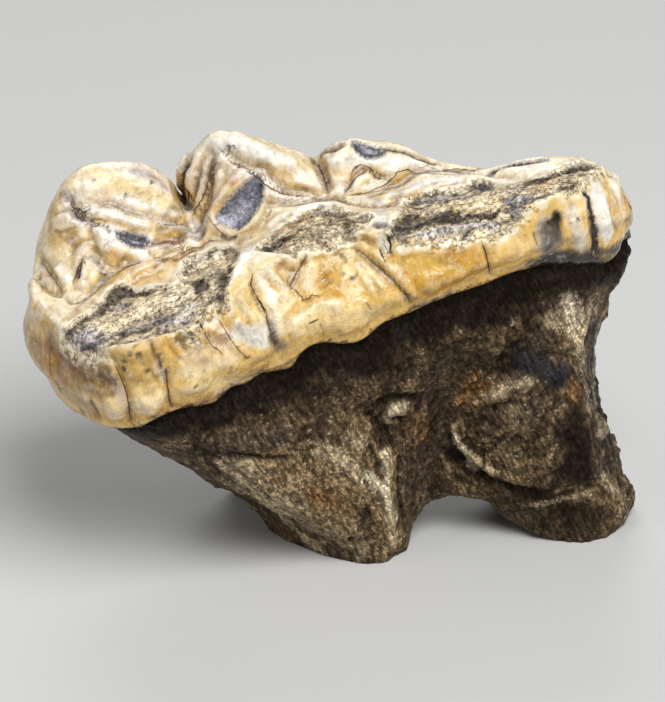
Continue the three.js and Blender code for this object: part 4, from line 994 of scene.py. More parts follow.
        ([(1.1, 6.2), (2.1, 5.2), (3, 4.2), (3.7, 2.8), (3.9, 1.8)], 0.3, "olive", 0.7),
        ([(1.8, 5.3), (2.6, 4.3), (3.3, 3.1)], 0.28, "rose", 0.8),
        ([(2.4, 4), (2.9, 3.6)], 0.4, "honey", 0.8),
        ([(2.4, 5.8), (3.1, 4.9), (3.8, 3.8)], 0.25, "chalk", 0.6),
        ([(3.1, 6.6), (3.2, 5.8)], 0.5, "bluish", 0.85),
        ([(4, 1.6), (4.6, 1.5)], 0.5, "umber", 0.7),
        ([(4, 5), (6, 5), (9.4, 4.6)], 1.2, "honey", 0.9),
        ([(4.2, 3.4), (6.4, 3.4), (9.2, 3)], 1.6, "honey", 0.95),
        ([(4.9, 3.2), (6.4, 3.2), (7.6, 2.6)], 0.9, "amber", 0.8),
        ([(7.1, 4.4), (7.6, 4)], 0.5, "mustard", 0.7),
        ([(7.8, 4.4), (8.8, 3.8), (8.7, 2.4)], 0.7, "amber", 0.5),
        ([(6.4, 5.7), (8, 5.5), (9.4, 5.2)], 0.4, "amber", 0.6),
        ([(3, 1.9), (5, 2.1), (8, 2.2), (9.6, 2.3)], 0.5, "gold", 0.8),
        ([(7.1, 4.9), (7.7, 4.9)], 0.3, "orange", 0.6),
        ([(10.4, 4.6), (11.8, 4.6)], 0.7, "cream", 0.6),
        ([(10.6, 2.8), (12.6, 2.8)], 1, "gold", 0.5),
        ([(12.4, 4.8), (13.4, 4.5)], 0.6, "honey", 0.5),
        ([(14.2, 4.6), (13.9, 3.6), (14.1, 2.6)], 0.9, "steel", 0.7),
        ([(14.5, 4.4), (14.1, 3.4), (14.2, 2.6)], 0.5, "slate", 0.85),
        ([(14.8, 4.4), (14.6, 3.5), (14.3, 2.9)], 0.45, "soot", 0.85),
        ([(15.2, 4.8), (15, 4), (14.9, 3.4)], 0.5, "soot", 1),
        ([(13.6, 1.9), (15, 1.6), (16.6, 1)], 0.5, "olive", 0.8),
        ([(14.4, 1.6), (15.6, 1.3)], 0.4, "tea", 0.7),
        ([(16.3, 4.6), (16.5, 1.8)], 0.7, "bluish", 0.7),
        ([(18.7, 4.4), (18.8, 0.6)], 0.9, "milk", 0.9),
        ([(17.7, 5), (17.8, 4), (17.7, 3), (17.7, 1.6)], 0.22, "umber", 0.85),
        ([(17.7, 2.4), (17.7, 1), (17.5, -0.6)], 0.4, "soot", 0.9),
        ([(12.8, 1.7), (15, 1), (16.6, 0.2), (17.6, -0.6)], 0.7, "umber", 0.85),
        ([(13.6, 1.7), (15.4, 1.1), (17, 0)], 0.5, "soot", 0.85),
        ([(17.6, 0), (18.6, -0.8), (19.8, -1.3), (20.8, -1.5)], 0.5, "soot", 0.85),
        ([(-12.7, 0.3), (-11.2, 0.1), (-9.4, 0.6), (-7.5, 0.7), (-5.6, 0.5), (-4.1, 1.2)], 0.22, "umber",
         0.7),
        ([(-10, 1.9), (-8, 1.8), (-6.4, 2)], 0.4, "amber", 0.7),
        ([(4.6, 1.4), (5.6, 1.5), (6.8, 1.5)], 0.3, "slate", 0.6),
        ([(4, 3), (9, 3)], 1.6, "amber", 0.2),
        ([(19.2, 0.4), (20.4, -0.8)], 0.5, "straw", 0.4),
        ([(20, 3), (20.4, 1)], 0.5, "chalk", 0.5),
    )),
    ("cheek", (
        ([(-8.6, 4), (-8.3, 0)], 1.2, "tea", 0.6),
        ([(1, 4), (1.3, -0.6)], 1, "tea", 0.6),
        ([(-16, 1), (-10, 1), (-4, 0.4), (4, -0.4), (14, -1)], 1.3, "honey", 0.6),
        ([(-14, 6), (-13, 3)], 1.6, "ivory", 0.5),
        ([(-5, 6), (-4, 3)], 1.6, "ivory", 0.45),
        ([(8, 3), (12, 2)], 1.4, "amber", 0.4),
    )),
    ("front", (
        ([(-4, 3.4), (-1, 3), (3, 3.2)], 1.2, "tea", 0.5),
        ([(-4, 2.6), (-6, 1.6), (-7.6, 1)], 1.6, "olive", 0.55),
        ([(-4.4, 4.6), (-6, 4.2), (-7.6, 4.2)], 1, "tea", 0.6),
        ([(-6.4, 4.8), (-7.2, 4), (-8, 3.6)], 0.4, "rust", 0.6),
        ([(-6, 0.6), (0, 0.2), (5, 0.4)], 1.2, "honey", 0.6),
    )),
    ("tongue", (
        ([(-18.6, 1), (-17, 1.6), (-15.2, 2)], 1, "cream", 0.4),
        ([(-12.4, 2.4), (-10.8, 1.6), (-9, 0.8)], 1, "cream", 0.35),
    )),
    ("front", (
        ([(-3.2, 3.6), (-4.2, 3.4), (-5.4, 3)], 1, "amber", 0.55),
        ([(-4.4, 4.6), (-5.6, 3.6), (-6.4, 2.2)], 0.7, "rust", 0.4),
        ([(-6.6, 2.4), (-7.2, 1.2), (-7.2, -0.4)], 0.9, "mustard", 0.5),
    )),
    ("tongue", (
        ([(-12.2, 4.6), (-10.4, 4.4), (-9.2, 4)], 0.7, "milk", 0.3),
        ([(-7.4, 4.2), (-6.6, 4)], 0.9, "bluish", 0.8),
    )),
    ("front", (
        ([(-3, 3.4), (-4.6, 3.2), (-5.9, 3)], 1.4, "orange", 0.25),
    )),
    ("tongue", (
        ([(-18.4, 1.4), (-16.8, 1.9), (-15, 2.2)], 1, "chalk", 0.3),
        ([(-12.2, 2.2), (-9.4, 0.8)], 1, "chalk", 0.2),
        ([(-4, 3.5), (-1.6, 3), (0.4, 2.5)], 0.9, "chalk", 0.25),
        ([(-4.2, 3.5), (-2.4, 3.4), (-0.8, 2.9), (0.6, 2.4)], 0.9, "cream", 0.4),
        ([(14.2, 4.2), (14.8, 3.4), (14.6, 2.4)], 0.9, "stone", 0.7),
    )),
    ("biting", (
        ([(-6.6, 1.4, 8.2), (-6, 1, 8), (-5.4, 0.9, 8.2)], 0.5, "bone", 0.5),
        ([(-9.8, 2.4, 7.2), (-9.4, 3, 7)], 0.6, "milk", 0.3),
    )),
    ("rear", (
        ([(-4, -1), (0, -1.2)], 0.9, "ash", 0.5),
    )),
)
FACET_WASHES = (
    ("biting", (
        ([(-17, -6.4), (-13, -6), (-10, -5), (-8.4, -3.6)], 2.6, "ivory", 0.55),
        ([(-16.5, -3.5), (-15.8, -2.8), (-14.6, -2.5), (-13.7, -3.4)], 0.5, "umber", 0.85),
        ([(-14, -3.4), (-12.9, -3.8)], 0.35, "tea", 0.7),
        ([(-15.8, -3.9), (-15.4, -4.4), (-14.9, -4.1)], 0.35, "umber", 0.7),
        ([(-15.5, -3.9), (-15.2, -4.1)], 0.35, "lilac", 0.95),
        ([(-19, -6.6), (-18, -6.6), (-17.4, -7.4)], 1, "lilac", 0.6),
        ([(-18.8, -7.2), (-18, -7.8), (-17, -8.6)], 0.5, "stone", 0.6),
        ([(-17.1, -9.1), (-15.7, -8.2), (-13.9, -8.3), (-13, -8), (-11.8, -8.2)], 0.4, "stone", 0.6),
        ([(-16.2, -7.6), (-14.6, -7.4), (-13.2, -7.2)], 0.4, "stone", 0.5),
        ([(-12.9, -9), (-11.2, -9.2)], 0.6, "lilac", 0.8),
        ([(-12.4, -4.6), (-11.6, -5.4)], 0.7, "grain", 0.8),
        ([(-9.9, -5.4), (-9.6, -6.6)], 0.7, "stone", 0.6),
        ([(-9.9, -5.7), (-9.4, -6.5)], 0.4, "soot", 0.85),
        ([(-11, -6.2), (-10.9, -7.6), (-10, -8.6), (-9.2, -8.3)], 0.2, "umber", 0.7),
        ([(-8.2, -4.4), (-7.9, -5.8), (-8.4, -7.6)], 0.4, "stone", 0.7),
        ([(-7.2, -2), (-7.2, -3.6)], 0.4, "grain", 0.6),
        ([(-10.2, -2.6), (-10.6, -3.8), (-10.2, -4.8)], 0.22, "ash", 0.8),
        ([(-10, -3.4), (-8.8, -2.9), (-8.2, -3.4)], 0.7, "grain", 0.8),
        ([(-4.4, -4.8), (-3.6, -4.1), (-3.1, -3.7)], 0.6, "umber", 0.8),
        ([(-3.2, -5), (-2.4, -4.6)], 0.5, "rose", 0.6),
        ([(-2.9, -4.2), (-2.4, -3.6)], 0.4, "rust", 0.5),
        ([(-2.6, -1.9), (-1.9, -1.7), (-1.2, -1.4)], 0.35, "amber", 0.8),
        ([(-2.6, -2.8), (-1.5, -2.2), (-0.9, -2.7)], 0.5, "rose", 0.8),
        ([(-1.9, -3.1), (-0.8, -3.4), (0.2, -3.6)], 0.25, "umber", 0.8),
        ([(0.2, -1.6), (1.4, -2.4)], 0.5, "stone", 0.9),
        ([(-0.2, -1.3), (1, -1.5)], 0.3, "lilac", 0.7),
        ([(-1.8, -4.4), (-0.6, -5), (0.6, -5.2)], 0.7, "ash", 0.8),
        ([(1.4, -4), (1.1, -5.2)], 0.35, "umber", 0.8),
        ([(1.6, -3), (2.6, -3.6), (2.8, -4.6)], 0.45, "grain", 0.8),
        ([(5.6, -2.2), (5.5, -3)], 0.5, "mustard", 0.8),
        ([(6.1, -2.4), (6.4, -3.2)], 0.35, "umber", 0.7),
        ([(6.8, -2.2), (8.6, -2.3), (9.9, -2.8)], 0.6, "lilac", 0.9),
        ([(6.6, -3.1), (8.2, -3.2), (9.4, -3.4)], 0.2, "umber", 0.6),
        ([(3.7, -6.6), (4.8, -6.2), (6.2, -6.1), (7.6, -6), (8.6, -6.1)], 0.8, "umber", 1),
        ([(4.6, -5.4), (6, -5.2)], 0.5, "umber", 0.7),
        ([(6, -4.3), (7.4, -4.1), (8.6, -4.4)], 0.35, "bone", 0.8),
        ([(4.3, -7), (4.4, -6)], 0.3, "lilac", 0.7),
        ([(8.2, -4.4), (10.2, -4.6), (11.6, -4.8)], 0.8, "grain", 1),
        ([(9, -5.6), (10.6, -6.2), (11.8, -6.4)], 0.7, "cream", 0.8),
        ([(5.6, -7.5), (7.1, -7.5), (8.8, -7.7), (11, -7.9)], 0.35, "lilac", 0.9),
        ([(4.8, -7.9), (7.4, -8.2), (9.8, -8.3)], 0.2, "chalk", 0.6),
        ([(8.4, -6.7), (9.6, -7.1), (11.3, -7.5)], 0.2, "umber", 0.8),
        ([(11.4, -2), (11.8, -2.4)], 0.4, "slate", 0.95),
        ([(10.8, -3), (11.8, -3.4)], 0.4, "stone", 0.6),
        ([(12.4, -6.8), (13.3, -6.6), (13.8, -7)], 0.5, "slate", 0.8),
        ([(12.8, -5.2), (13.8, -5.4)], 0.5, "lilac", 0.7),
        ([(15, -5), (16.6, -3.7), (18.4, -2.8), (19.2, -2.9)], 0.5, "umber", 0.75),
        ([(14.4, -4.2), (16, -3)], 0.35, "stone", 0.7),
        ([(15.4, -6), (17.2, -5.4), (18.4, -4.4)], 0.6, "bone", 0.7),
        ([(-19.2, -6.2), (-18.4, -5.2), (-17.2, -4.3), (-16.3, -3.4), (-15.7, -2.6), (-14.8, -2.3)], 0.3,
         "umber", 0.9),
        ([(-16.2, -3.2), (-15.2, -2.7), (-14.2, -2.8)], 0.35, "umber", 0.8),
        ([(-14.3, -2.6), (-13.5, -3.4), (-12.8, -3.8)], 0.3, "bark", 0.85),
        ([(-15.6, -3.9), (-15.2, -4.1)], 0.4, "lilac", 0.9),
        ([(-18.9, -6.6), (-18.1, -6.6), (-17.7, -7.3)], 0.8, "steel", 0.6),
        ([(-18.8, -7.3), (-17.8, -8.1), (-16.9, -8), (-15.9, -7.8), (-14.9, -7.8), (-13.4, -7.9),
         (-12.4, -7.9)], 0.3, "slate", 0.8),
        ([(-16.8, -6.2), (-15.6, -6.1), (-14.4, -6.2), (-13.2, -5.8), (-12.4, -5.2), (-11.6, -5.4),
         (-11, -6.2)], 0.9, "ivory", 0.85),
        ([(-12.4, -8.8), (-11.4, -8.3), (-10.8, -8.2)], 0.5, "bluish", 0.7),
        ([(-10.2, -2), (-9.4, -1.9), (-9, -2.7)], 0.7, "rose", 0.6),
        ([(-9.9, -4.8), (-9.6, -5.7), (-10, -6.4)], 0.38, "soot", 0.85),
        ([(-10.5, -3), (-10.5, -4.2)], 0.28, "chalk", 0.8),
        ([(-8.9, -5.2), (-8.3, -5.2), (-8.4, -6.4)], 0.5, "stone", 0.7),
        ([(-9.4, -8.4), (-8.7, -8.4)], 0.4, "umber", 0.85),
        ([(-10.2, -1.3), (-9, -0.9), (-7.6, -1.1), (-6.6, -1.6)], 0.2, "umber", 0.8),
        ([(-6.7, -3.4), (-7.4, -5.2), (-8.2, -7)], 0.25, "umber", 0.7),
        ([(-4.5, -4.7), (-3.6, -4.1), (-2.7, -4)], 0.45, "bark", 0.8),
        ([(4.5, -6.2), (5.7, -6.4), (7.1, -6.4), (8.4, -6.8)], 0.75, "bark", 0.9),
        ([(8.2, -6.8), (9.7, -7.2), (11.2, -7.6)], 0.22, "bark", 0.9),
        ([(5.8, -7.6), (7.8, -7.7), (9.4, -7.8), (11, -7.9)], 0.3, "bluish", 0.7),
        ([(6, -1.6), (7.4, -1.5), (8.6, -1.7)], 0.28, "bark", 0.9),
        ([(6.8, -2.1), (8.4, -2.1), (10, -2.4)], 0.35, "lilac", 0.9),
        ([(6.5, -2.9), (8, -3), (9.4, -3)], 0.2, "umber", 0.85),
        ([(10.9, -1.6), (11.5, -2.2), (11.7, -3)], 0.4, "slate", 0.95),
        ([(8.8, -4.3), (10.2, -4.8), (11.4, -5.4), (10.2, -6)], 0.8, "ivory", 0.6),
        ([(12.2, -6.4), (13.2, -7), (12.3, -7.6)], 0.5, "slate", 0.9),
        ([(12.7, -6.8), (13.1, -6.6)], 0.22, "bluish", 0.8),
        ([(14.1, -4.6), (15, -4), (17, -2.9), (19, -2.3)], 0.5, "bark", 0.85),
        ([(14.1, -7.3), (15.4, -7.2), (16.7, -6.8), (18.5, -5.7)], 0.25, "umber", 0.75),
        ([(14.6, -6.1), (15.8, -5.9), (17.4, -5.4)], 0.5, "grain", 0.6),
        ([(14.6, -5.8), (15.8, -5)], 0.4, "mustard", 0.6),
        ([(-10.2, -1.9), (-9.4, -1.6), (-8.4, -1.5)], 0.6, "bone", 0.7),
        ([(-9.4, -2.4), (-8.4, -2.2), (-7.8, -1.6)], 0.7, "ivory", 0.6),
        ([(-9.9, -5), (-9.7, -5.7), (-9.9, -6.3)], 0.4, "soot", 0.9),
        ([(-9.8, -1.6), (-8.8, -1.2), (-7.6, -1.2)], 0.7, "bluish", 0.45),
    )),
)
SLATE_WASHES = (
    ("biting", (
        # Painted highlight in steel on the lower left of the middle cusp's slate, and painted shade in
        # midnight along its right edge.
        ([(-6.8, 0.3), (-6, 0.3), (-5, 0.4)], 0.7, "steel", 0.85),
        ([(-3.4, 0.9), (-3.6, 0.4), (-4.2, 0), (-5, -0.3), (-5.8, -0.5)], 0.28, "midnight", 0.9),
        ([(-14, 0.2), (-13, 0), (-12, -0.2)], 0.8, "midnight", 0.5),
        ([(3.6, 1.4), (5, 1.4)], 0.8, "midnight", 0.5),
    )),
)
ROOT_WASHES = (
    ("root tongue", (
        ([(-9.8, 13.9), (-9, 13.6)], 1, "tan", 0.4),
        ([(-8.4, 12.8), (-6.4, 13)], 0.8, "tan", 0.5),
        ([(-8.2, 10.6), (-6.4, 8.1), (-4.6, 5.8)], 1.4, "fibre", 0.7),
        ([(-5.8, 4.6), (-3.4, 4)], 1, "fibre", 0.6),
        ([(-8, 9), (-4, 5.4), (0, 2.2)], 2.2, "fibre", 0.35),
        ([(17.5, 19), (17.4, 15), (17.6, 11)], 1.2, "ash", 0.4),
    )),
    ("rear", (
        ([(-6, -7.6), (-5.4, -11), (-5, -14), (-5, -17)], 2, "peat", 0.75),
    )),
    ("root tongue", (
        ([(14.4, 4.6), (15.6, 3.2), (17.4, 2.4)], 1.4, "peat", 0.5),
        ([(-11, 12.6), (-9.4, 12), (-8.2, 11.6)], 1.1, "peat", 0.4),
        ([(6.6, 17.4), (8.2, 16.2), (9.6, 16.4)], 1.2, "peat", 0.4),
        ([(-1, 12.8), (0.6, 12)], 1.2, "tan", 0.4),
        ([(7.4, 16.6), (8.6, 13.2), (8, 10.6)], 1.6, "tan", 0.5),
        ([(-5, 9.4), (-1, 8.6), (-2, 5)], 2.6, "tan", 0.85),
        ([(-2.4, 10.8), (-1.2, 10)], 0.8, "fibre", 0.5),
        ([(-0.4, 5.2), (-2.6, 7.6)], 0.8, "russet", 0.5),
        ([(-0.2, 11.6), (0.4, 11)], 0.8, "fibre", 0.5),
        ([(-3.4, 9.8), (-2.2, 8.4)], 0.4, "bark", 0.7),
        ([(2, 9.4), (2.4, 7.9), (2.4, 6.3), (2.7, 3.6), (3, 1.4)], 1.3, "tan", 0.95),
        ([(2.4, 9.4), (2.8, 7.9), (2.6, 6.3), (2.9, 3.6), (3.3, 1.4)], 0.6, "fibre", 0.75),
        ([(1.2, 8), (2, 6.8), (2.6, 5.4)], 0.5, "bone", 0.7),
        ([(-0.6, 9.6), (0.2, 8.4), (0.8, 7.6)], 0.5, "fibre", 0.9),
        ([(2.3, 12.2), (2.7, 13.1), (3.8, 12.9)], 0.5, "fibre", 0.6),
        ([(1.4, 12.6), (2, 11), (2.1, 9.8)], 0.4, "bark", 0.8),
        ([(1.6, 13.9), (3, 14.3), (4.9, 13.7)], 0.6, "peat", 0.8),
        ([(8.8, 14.4), (9.2, 13.4)], 1.2, "russet", 0.8),
        ([(7, 15.6), (8.2, 14.6)], 1, "tan", 0.5),
        ([(11.2, 14.3), (9.9, 13)], 0.6, "fibre", 0.5),
        ([(13.6, 14.6), (12.4, 13.4)], 0.6, "tan", 0.7),
        ([(15.6, 14), (15.9, 12.8)], 0.6, "russet", 0.6),
        ([(15.2, 11.6), (14.7, 11.4)], 0.8, "tan", 0.7),
        ([(16.9, 18), (16.2, 16.6), (16.8, 15.2)], 0.9, "fibre", 0.45),
        ([(16.3, 9.4), (16, 6)], 1.5, "peat", 0.7),
        ([(7.8, 10.2), (8.4, 8.3), (9.4, 7.2), (10.8, 6.2)], 0.35, "fibre", 0.8),
        ([(7.8, 7.6), (9.5, 5.9), (11.6, 4.8), (14.2, 4.4)], 0.8, "peat", 0.75),
        ([(11.4, 6), (12.4, 5.6)], 0.7, "tan", 0.7),
        ([(15.2, 4.6), (17, 4.9), (18.6, 5)], 0.3, "tan", 0.5),
        ([(18.6, 13), (18.4, 10), (19.6, 6.6), (20.6, 4)], 1, "peat", 0.5),
        ([(8, 20.6), (12, 21)], 1.2, "peat", 0.6),
        ([(15.1, 20.7), (15.8, 19.2), (16, 17.9)], 0.8, "bone", 0.7),
        ([(13.2, 17.9), (12, 14.7)], 1.4, "mauve", 0.6),
        ([(18.7, 17.4), (18.4, 13), (18.6, 9)], 0.7, "ash", 0.5),
        ([(11.6, 11), (11, 8)], 1.8, "tan", 0.4),
        ([(-8, 13), (-5.6, 13)], 1.4, "mauve", 0.6),
        ([(-4.2, 16.4), (-1, 17.4), (2.4, 17.6)], 1.6, "peat", 0.7),
        ([(5, 20.4), (8.1, 21.2), (10.4, 21.2)], 2.2, "peat", 0.85),
        ([(12.2, 16.2), (13.4, 15.6), (15, 14.5)], 1.3, "midnight", 0.9),
        ([(6, 17.6), (7.6, 15.4), (7.4, 11)], 1.4, "bark", 0.8),
        ([(10.4, 4.6), (13, 2.4), (18, 1.4)], 1.2, "bark", 0.8),
        ([(11.6, 18.4), (10.8, 15.6)], 1.2, "peat", 0.7),
        ([(16, 11), (16.8, 8.1), (16.8, 5.8)], 1.4, "peat", 0.85),
        ([(8.8, 12.6), (9.3, 13.9)], 1.2, "russet", 0.8),
        ([(9.3, 12.5), (10.7, 14), (12.6, 14.5)], 0.4, "fibre", 0.7),
        ([(14.2, 19.6), (15.4, 18.8), (16.4, 17.4), (16.6, 16.3)], 0.9, "fibre", 0.8),
        ([(15.3, 20), (16.1, 18.4)], 0.4, "bone", 0.8),
        ([(16.2, 13.4), (16.4, 12.6)], 0.5, "russet", 0.7),
        ([(8, 8.9), (9.3, 6.4), (10.5, 6)], 0.35, "bone", 0.7),
        ([(12, 7.7), (12.6, 7.4)], 0.9, "tan", 0.6),
        ([(13.4, 3.4), (17.7, 4.2)], 0.3, "fibre", 0.5),
        ([(18.6, 5.2), (20, 3.4)], 0.4, "fibre", 0.6),
        ([(4.7, 11.5), (5.3, 9.4)], 1, "russet", 0.45),
        ([(-1.4, 10.4), (-2.6, 11)], 0.8, "fibre", 0.6),
        ([(2.4, 9.3), (2.6, 6.3), (3.4, 3.6)], 0.35, "bone", 0.8),
        ([(2.5, 13.2), (3.7, 13.5)], 0.45, "bone", 0.8),
        ([(1.2, 10.4), (2, 8.4)], 0.35, "peat", 0.8),
        ([(2.4, 11.7), (3.1, 9.9)], 0.35, "peat", 0.8),
        ([(1.3, 7.7), (1.7, 7.2)], 0.5, "bone", 0.7),
        ([(-9.8, 11.2), (-7.1, 7.5), (-3.8, 2.4), (-2, 0.6)], 0.7, "fibre", 0.7),
        ([(-2.8, 6.8), (-2, 6.2)], 0.8, "russet", 0.6),
    )),
    ("root cheek", (
        ([(-6, 12), (-4, 6)], 2.4, "tan", 0.6),
        ([(3.8, 12), (3.2, 4)], 1.6, "peat", 0.7),
        ([(10, 12), (13, 6)], 2.4, "tan", 0.5),
        ([(17, 14), (18, 8)], 1.4, "russet", 0.5),
    )),
    ("root tongue", (
        ([(7, 17), (8.4, 16), (9.8, 16.2)], 1.4, "peat", 0.4),
        ([(13.6, 3.6), (15.6, 3), (17.4, 2.6)], 1.6, "peat", 0.45),
    )),
)
PITS = (
    # Place in mm, and reach, of single dark pits.
    ("tongue", (
        ((-15.8, 6.1), 0.25), ((-15.3, 5.95), 0.3), ((-15.3, 6.6), 0.2), ((-16.3, 5.6), 0.25),
        ((-16.5, 5), 0.3), ((-15, 4.7), 0.25), ((-13.9, 5.5), 0.2), ((-14.1, 4.7), 0.25),
        ((-13.9, 4.1), 0.2), ((-9.1, 6.4), 0.25), ((-8.2, 2.8), 0.2), ((-2.2, 6.7), 0.25),
        ((0.4, 4.9), 0.28), ((-0.1, 5.2), 0.22), ((14.5, 4.7), 0.25), ((16.6, 4), 0.2), ((19.2, 2.8), 0.22),
        ((-12.2, 2.6), 0.22), ((-11.4, 2.5), 0.2), ((13.9, 2.4), 0.25),
    )),
    ("biting", (
        ((-2.6, -1.6), 0.22), ((4.6, -1.9), 0.25), ((-6.2, -0.9), 0.25), ((-12.6, 2.2), 0.2),
        ((-14.4, 2.9), 0.18), ((-10.6, 2.7), 0.2),
    )),
    ("root tongue", (
        ((1.2, 13), 0.5), ((0, 2.2), 0.4), ((5.6, 16.2), 0.4),
    )),
)

WASH_REACH, WASH_CORE, WASH_END = 1.6, 0.35, 1.15
PIT_STRENGTH = 0.95
HOLLOW_DEPTH, VALLEY_DEPTH = 0.05, 0.3
ENAMEL_MIDDLE, ENAMEL_CONTRAST, ENAMEL_BRIGHTEST = 0.56, 1.2, 0.92
FACET_MIDDLE, FACET_CONTRAST = 0.36, 1.35
WALL_YELLOWING = (0, 0.01, 0.08)

mottle = grain(1.6, 3, shift=11)
flecks = grain(0.55, 2, shift=31)
blotch = grain(4.5, 3, shift=17)
cavity = ((settled(skin, 6) - skin) * facing).sum(1)
valley = ((settled(skin, 40) - skin) * facing).sum(1)
hollow = np.clip(cavity / HOLLOW_DEPTH, -1, 1)
valley = np.clip(valley / VALLEY_DEPTH, -1, 1)
worn = np.where(neck > 0.3, worn, -2)


def all_over(pigment):
    return np.zeros((len(skin), 3)) + PIGMENTS[pigment]


def over(colour, pigment, share):
    """A colour with a pigment laid over it, more or less of it at every point."""
    return mix(colour, np.array(PIGMENTS[pigment]), np.asarray(share)[:, None])


def deeper(colour, middle, contrast):
    """A colour with what is lighter than the middle made lighter, and what is darker made darker."""
    return middle * (colour / middle) ** contrast


wall = smooth(-across, 0.5, 0.75)
upward = smooth(facing[:, 2], 0.1, 0.8) * (1 - 0.75 * wall)
tint = over(all_over("gold"), "ivory", upward)
tint = over(tint, "cream", smooth(blotch + 0.5 * mottle, -0.2, 0.6) * 0.5)
tint = over(tint, "honey", smooth(mottle - 0.3 * blotch, 0.1, 0.7) * mix(0.7, 0.18, upward))
tint = over(tint, "milk", smooth(-mottle - flecks, 0, 0.8) * mix(0.05, 0.6, upward))
tint = over(tint, "milk", smooth(skin[:, 2], 7.5, 10) * smooth(across, -0.4, 0.2) * 0.35)


def washed(washes, kept):
    """Lays washes over the skin, each uneven at its edge, only where it is kept."""
    for side, rows in washes:
        for path, reach, pigment, strength in rows:
            spots, gap, _ = near_line(laid(side, path)[0], reach * WASH_REACH)
            uneven = 1 + 0.35 * mottle[spots] + 0.3 * flecks[spots]
            fade = 1 - smooth(gap * uneven, reach * WASH_CORE, reach * WASH_END)
            tint[spots] = over(tint[spots], pigment, strength * fade * kept[spots])


washed(WASHES, smooth(neck, -0.15, 0.1))
# Painted shade: olive in broad valleys and tea in creases, where shade falls. Painted highlight: milk on
# ridges above the neck, less of it on the walls.
tint = over(tint, "olive", smooth(valley, 0.4, 1) * 0.12)
tint = over(tint, "tea", smooth(hollow, 0.5, 1) * 0.35)
tint = over(tint, "milk", smooth(-hollow, 0.4, 1) * smooth(neck, 0.5, 1.2) * mix(0.4, 0.15, wall))
tint *= 1 - wall[:, None] * WALL_YELLOWING
tint = np.minimum(deeper(tint, ENAMEL_MIDDLE, ENAMEL_CONTRAST), ENAMEL_BRIGHTEST)
# Painted shade: umber in the deepest creases.
tint = over(tint, "umber", smooth(cavity, 0.07, 0.13) * 0.4)
sooty_lip = smooth(skin[:, 0], 11.5, 14) * (1 - smooth(neck + 0.4 * mottle, 0.4, 1.2))
tint = over(tint, "soot", sooty_lip * 0.85)

dentine = over(all_over("bone"), "grain", smooth(mottle + flecks, -0.2, 0.5))
dentine = over(dentine, "ash", smooth(grain(1, 3, (2, 1, 1), 23), 0, 0.5) * 0.8)
tint = mix(tint, dentine, smooth(worn, -0.08, 0.08)[:, None])
washed(FACET_WASHES, smooth(worn, -0.1, 0.1))
tint = mix(tint, deeper(tint, FACET_MIDDLE, FACET_CONTRAST), smooth(worn, -0.08, 0.08)[:, None])
# Painted shade: stone in the hollows of the worn facets.
tint = over(tint, "stone", smooth(hollow, 0.3, 1) * smooth(worn, -0.1, 0.1) * 0.7)
tint = over(tint, "slate", smooth(slate, -0.1, 0.05))
washed(SLATE_WASHES, smooth(slate, -0.1, 0.05))

cementum = over(all_over("bark"), "tan", smooth(blotch + 0.4 * mottle, -0.1, 0.7) * 0.5)
cementum = over(cementum, "mauve", smooth(-blotch, 0.1, 0.7) * 0.6)
cementum = over(cementum, "peat", smooth(-mottle - 0.3 * flecks, 0.1, 0.8) * 0.4)
# A near-black band under the neck: partly the roots' own dark stain, partly painted shadow under the
# overhanging enamel lip.
cementum = over(cementum, "peat", (1 - smooth(-neck + 0.8 * mottle, 1.6, 4.4)) * 0.97)
cementum = over(cementum, "tan", smooth(-neck, 2, 3) * smooth(-hollow, 0.2, 1) * 0.4)
tint = mix(tint, cementum, smooth(-neck, -0.05, 0.1)[:, None])
washed(ROOT_WASHES, smooth(-neck, 0.4, 1.2))
# Painted shade: peat in the roots' hollows and valleys.
root_hollow_shade = np.maximum(smooth(hollow, 0.1, 0.9), smooth(valley, 0.3, 1))
tint = over(tint, "peat", smooth(-neck, -0.05, 0.1) * root_hollow_shade * 0.6)

for side, rows in PITS:
    for place, reach in rows:
        spots, gap, _ = near_line(laid(side, [place, (place[0] + 0.02, place[1])])[0], reach)
        tint[spots] = over(tint[spots], "soot", PIT_STRENGTH * smooth(reach - gap, 0, 0.6 * reach))


def keep_on_skin(name, kind, field, values):
    layer = tooth.data.attributes.new(name, kind, "POINT")
    layer.data.foreach_set(field, np.ascontiguousarray(values).ravel())


keep_on_skin("tint", "FLOAT_COLOR", "color", np.column_stack([tint, np.ones(len(tint))]))
keep_on_skin("edges", "FLOAT_VECTOR", "vector", np.stack([worn, slate, neck], 1))
keep_on_skin("crack", "FLOAT_VECTOR", "vector", crack)
keep_on_skin("blotch", "FLOAT", "value", blotch)

# --- Fossil skin -----------------------------------------------------------------------------------
# One material for the whole tooth: glassy enamel, dull speckled dentine, polished slate and granular
# cementum, each kept to its place by the edges that were laid out on the skin.

TEA_CLOUD, HONEY_FLECK, CHALK_FLECK_AND_GLINT = (0.88, 0.74, 0.52), (0.70, 0.53, 0.34), (0.92, 0.89, 0.82)
CRAZING, DARK_SPECK, NECK_DIRT_AND_LIP_SHADOW = (0.45, 0.30, 0.18), (0.25, 0.18, 0.11), (0.18, 0.10, 0.05)
CREAM_CRUMB, GOLD_GRIT, BROWN_GRIT = (0.90, 0.85, 0.74), (0.86, 0.79, 0.60), (0.25, 0.20, 0.17)
STRAND_GAP, CRUMB_GAP, RIM_CRUMB = (0.22, 0.18, 0.15), (0.12, 0.10, 0.08), (0.88, 0.80, 0.60)
PALE_GRAIN, ROOT_PIT = (0.46, 0.40, 0.30), (0.25, 0.20, 0.16)
SCRATCH, STUCK_CRUMB = (0.62, 0.60, 0.58), (0.62, 0.53, 0.34)
CRACK_BROWN, CRACK_BLACK, CRACK_HALO = (0.10, 0.05, 0.025), (0.022, 0.016, 0.013), (0.55, 0.40, 0.25)
ENAMEL_IOR = 1.5

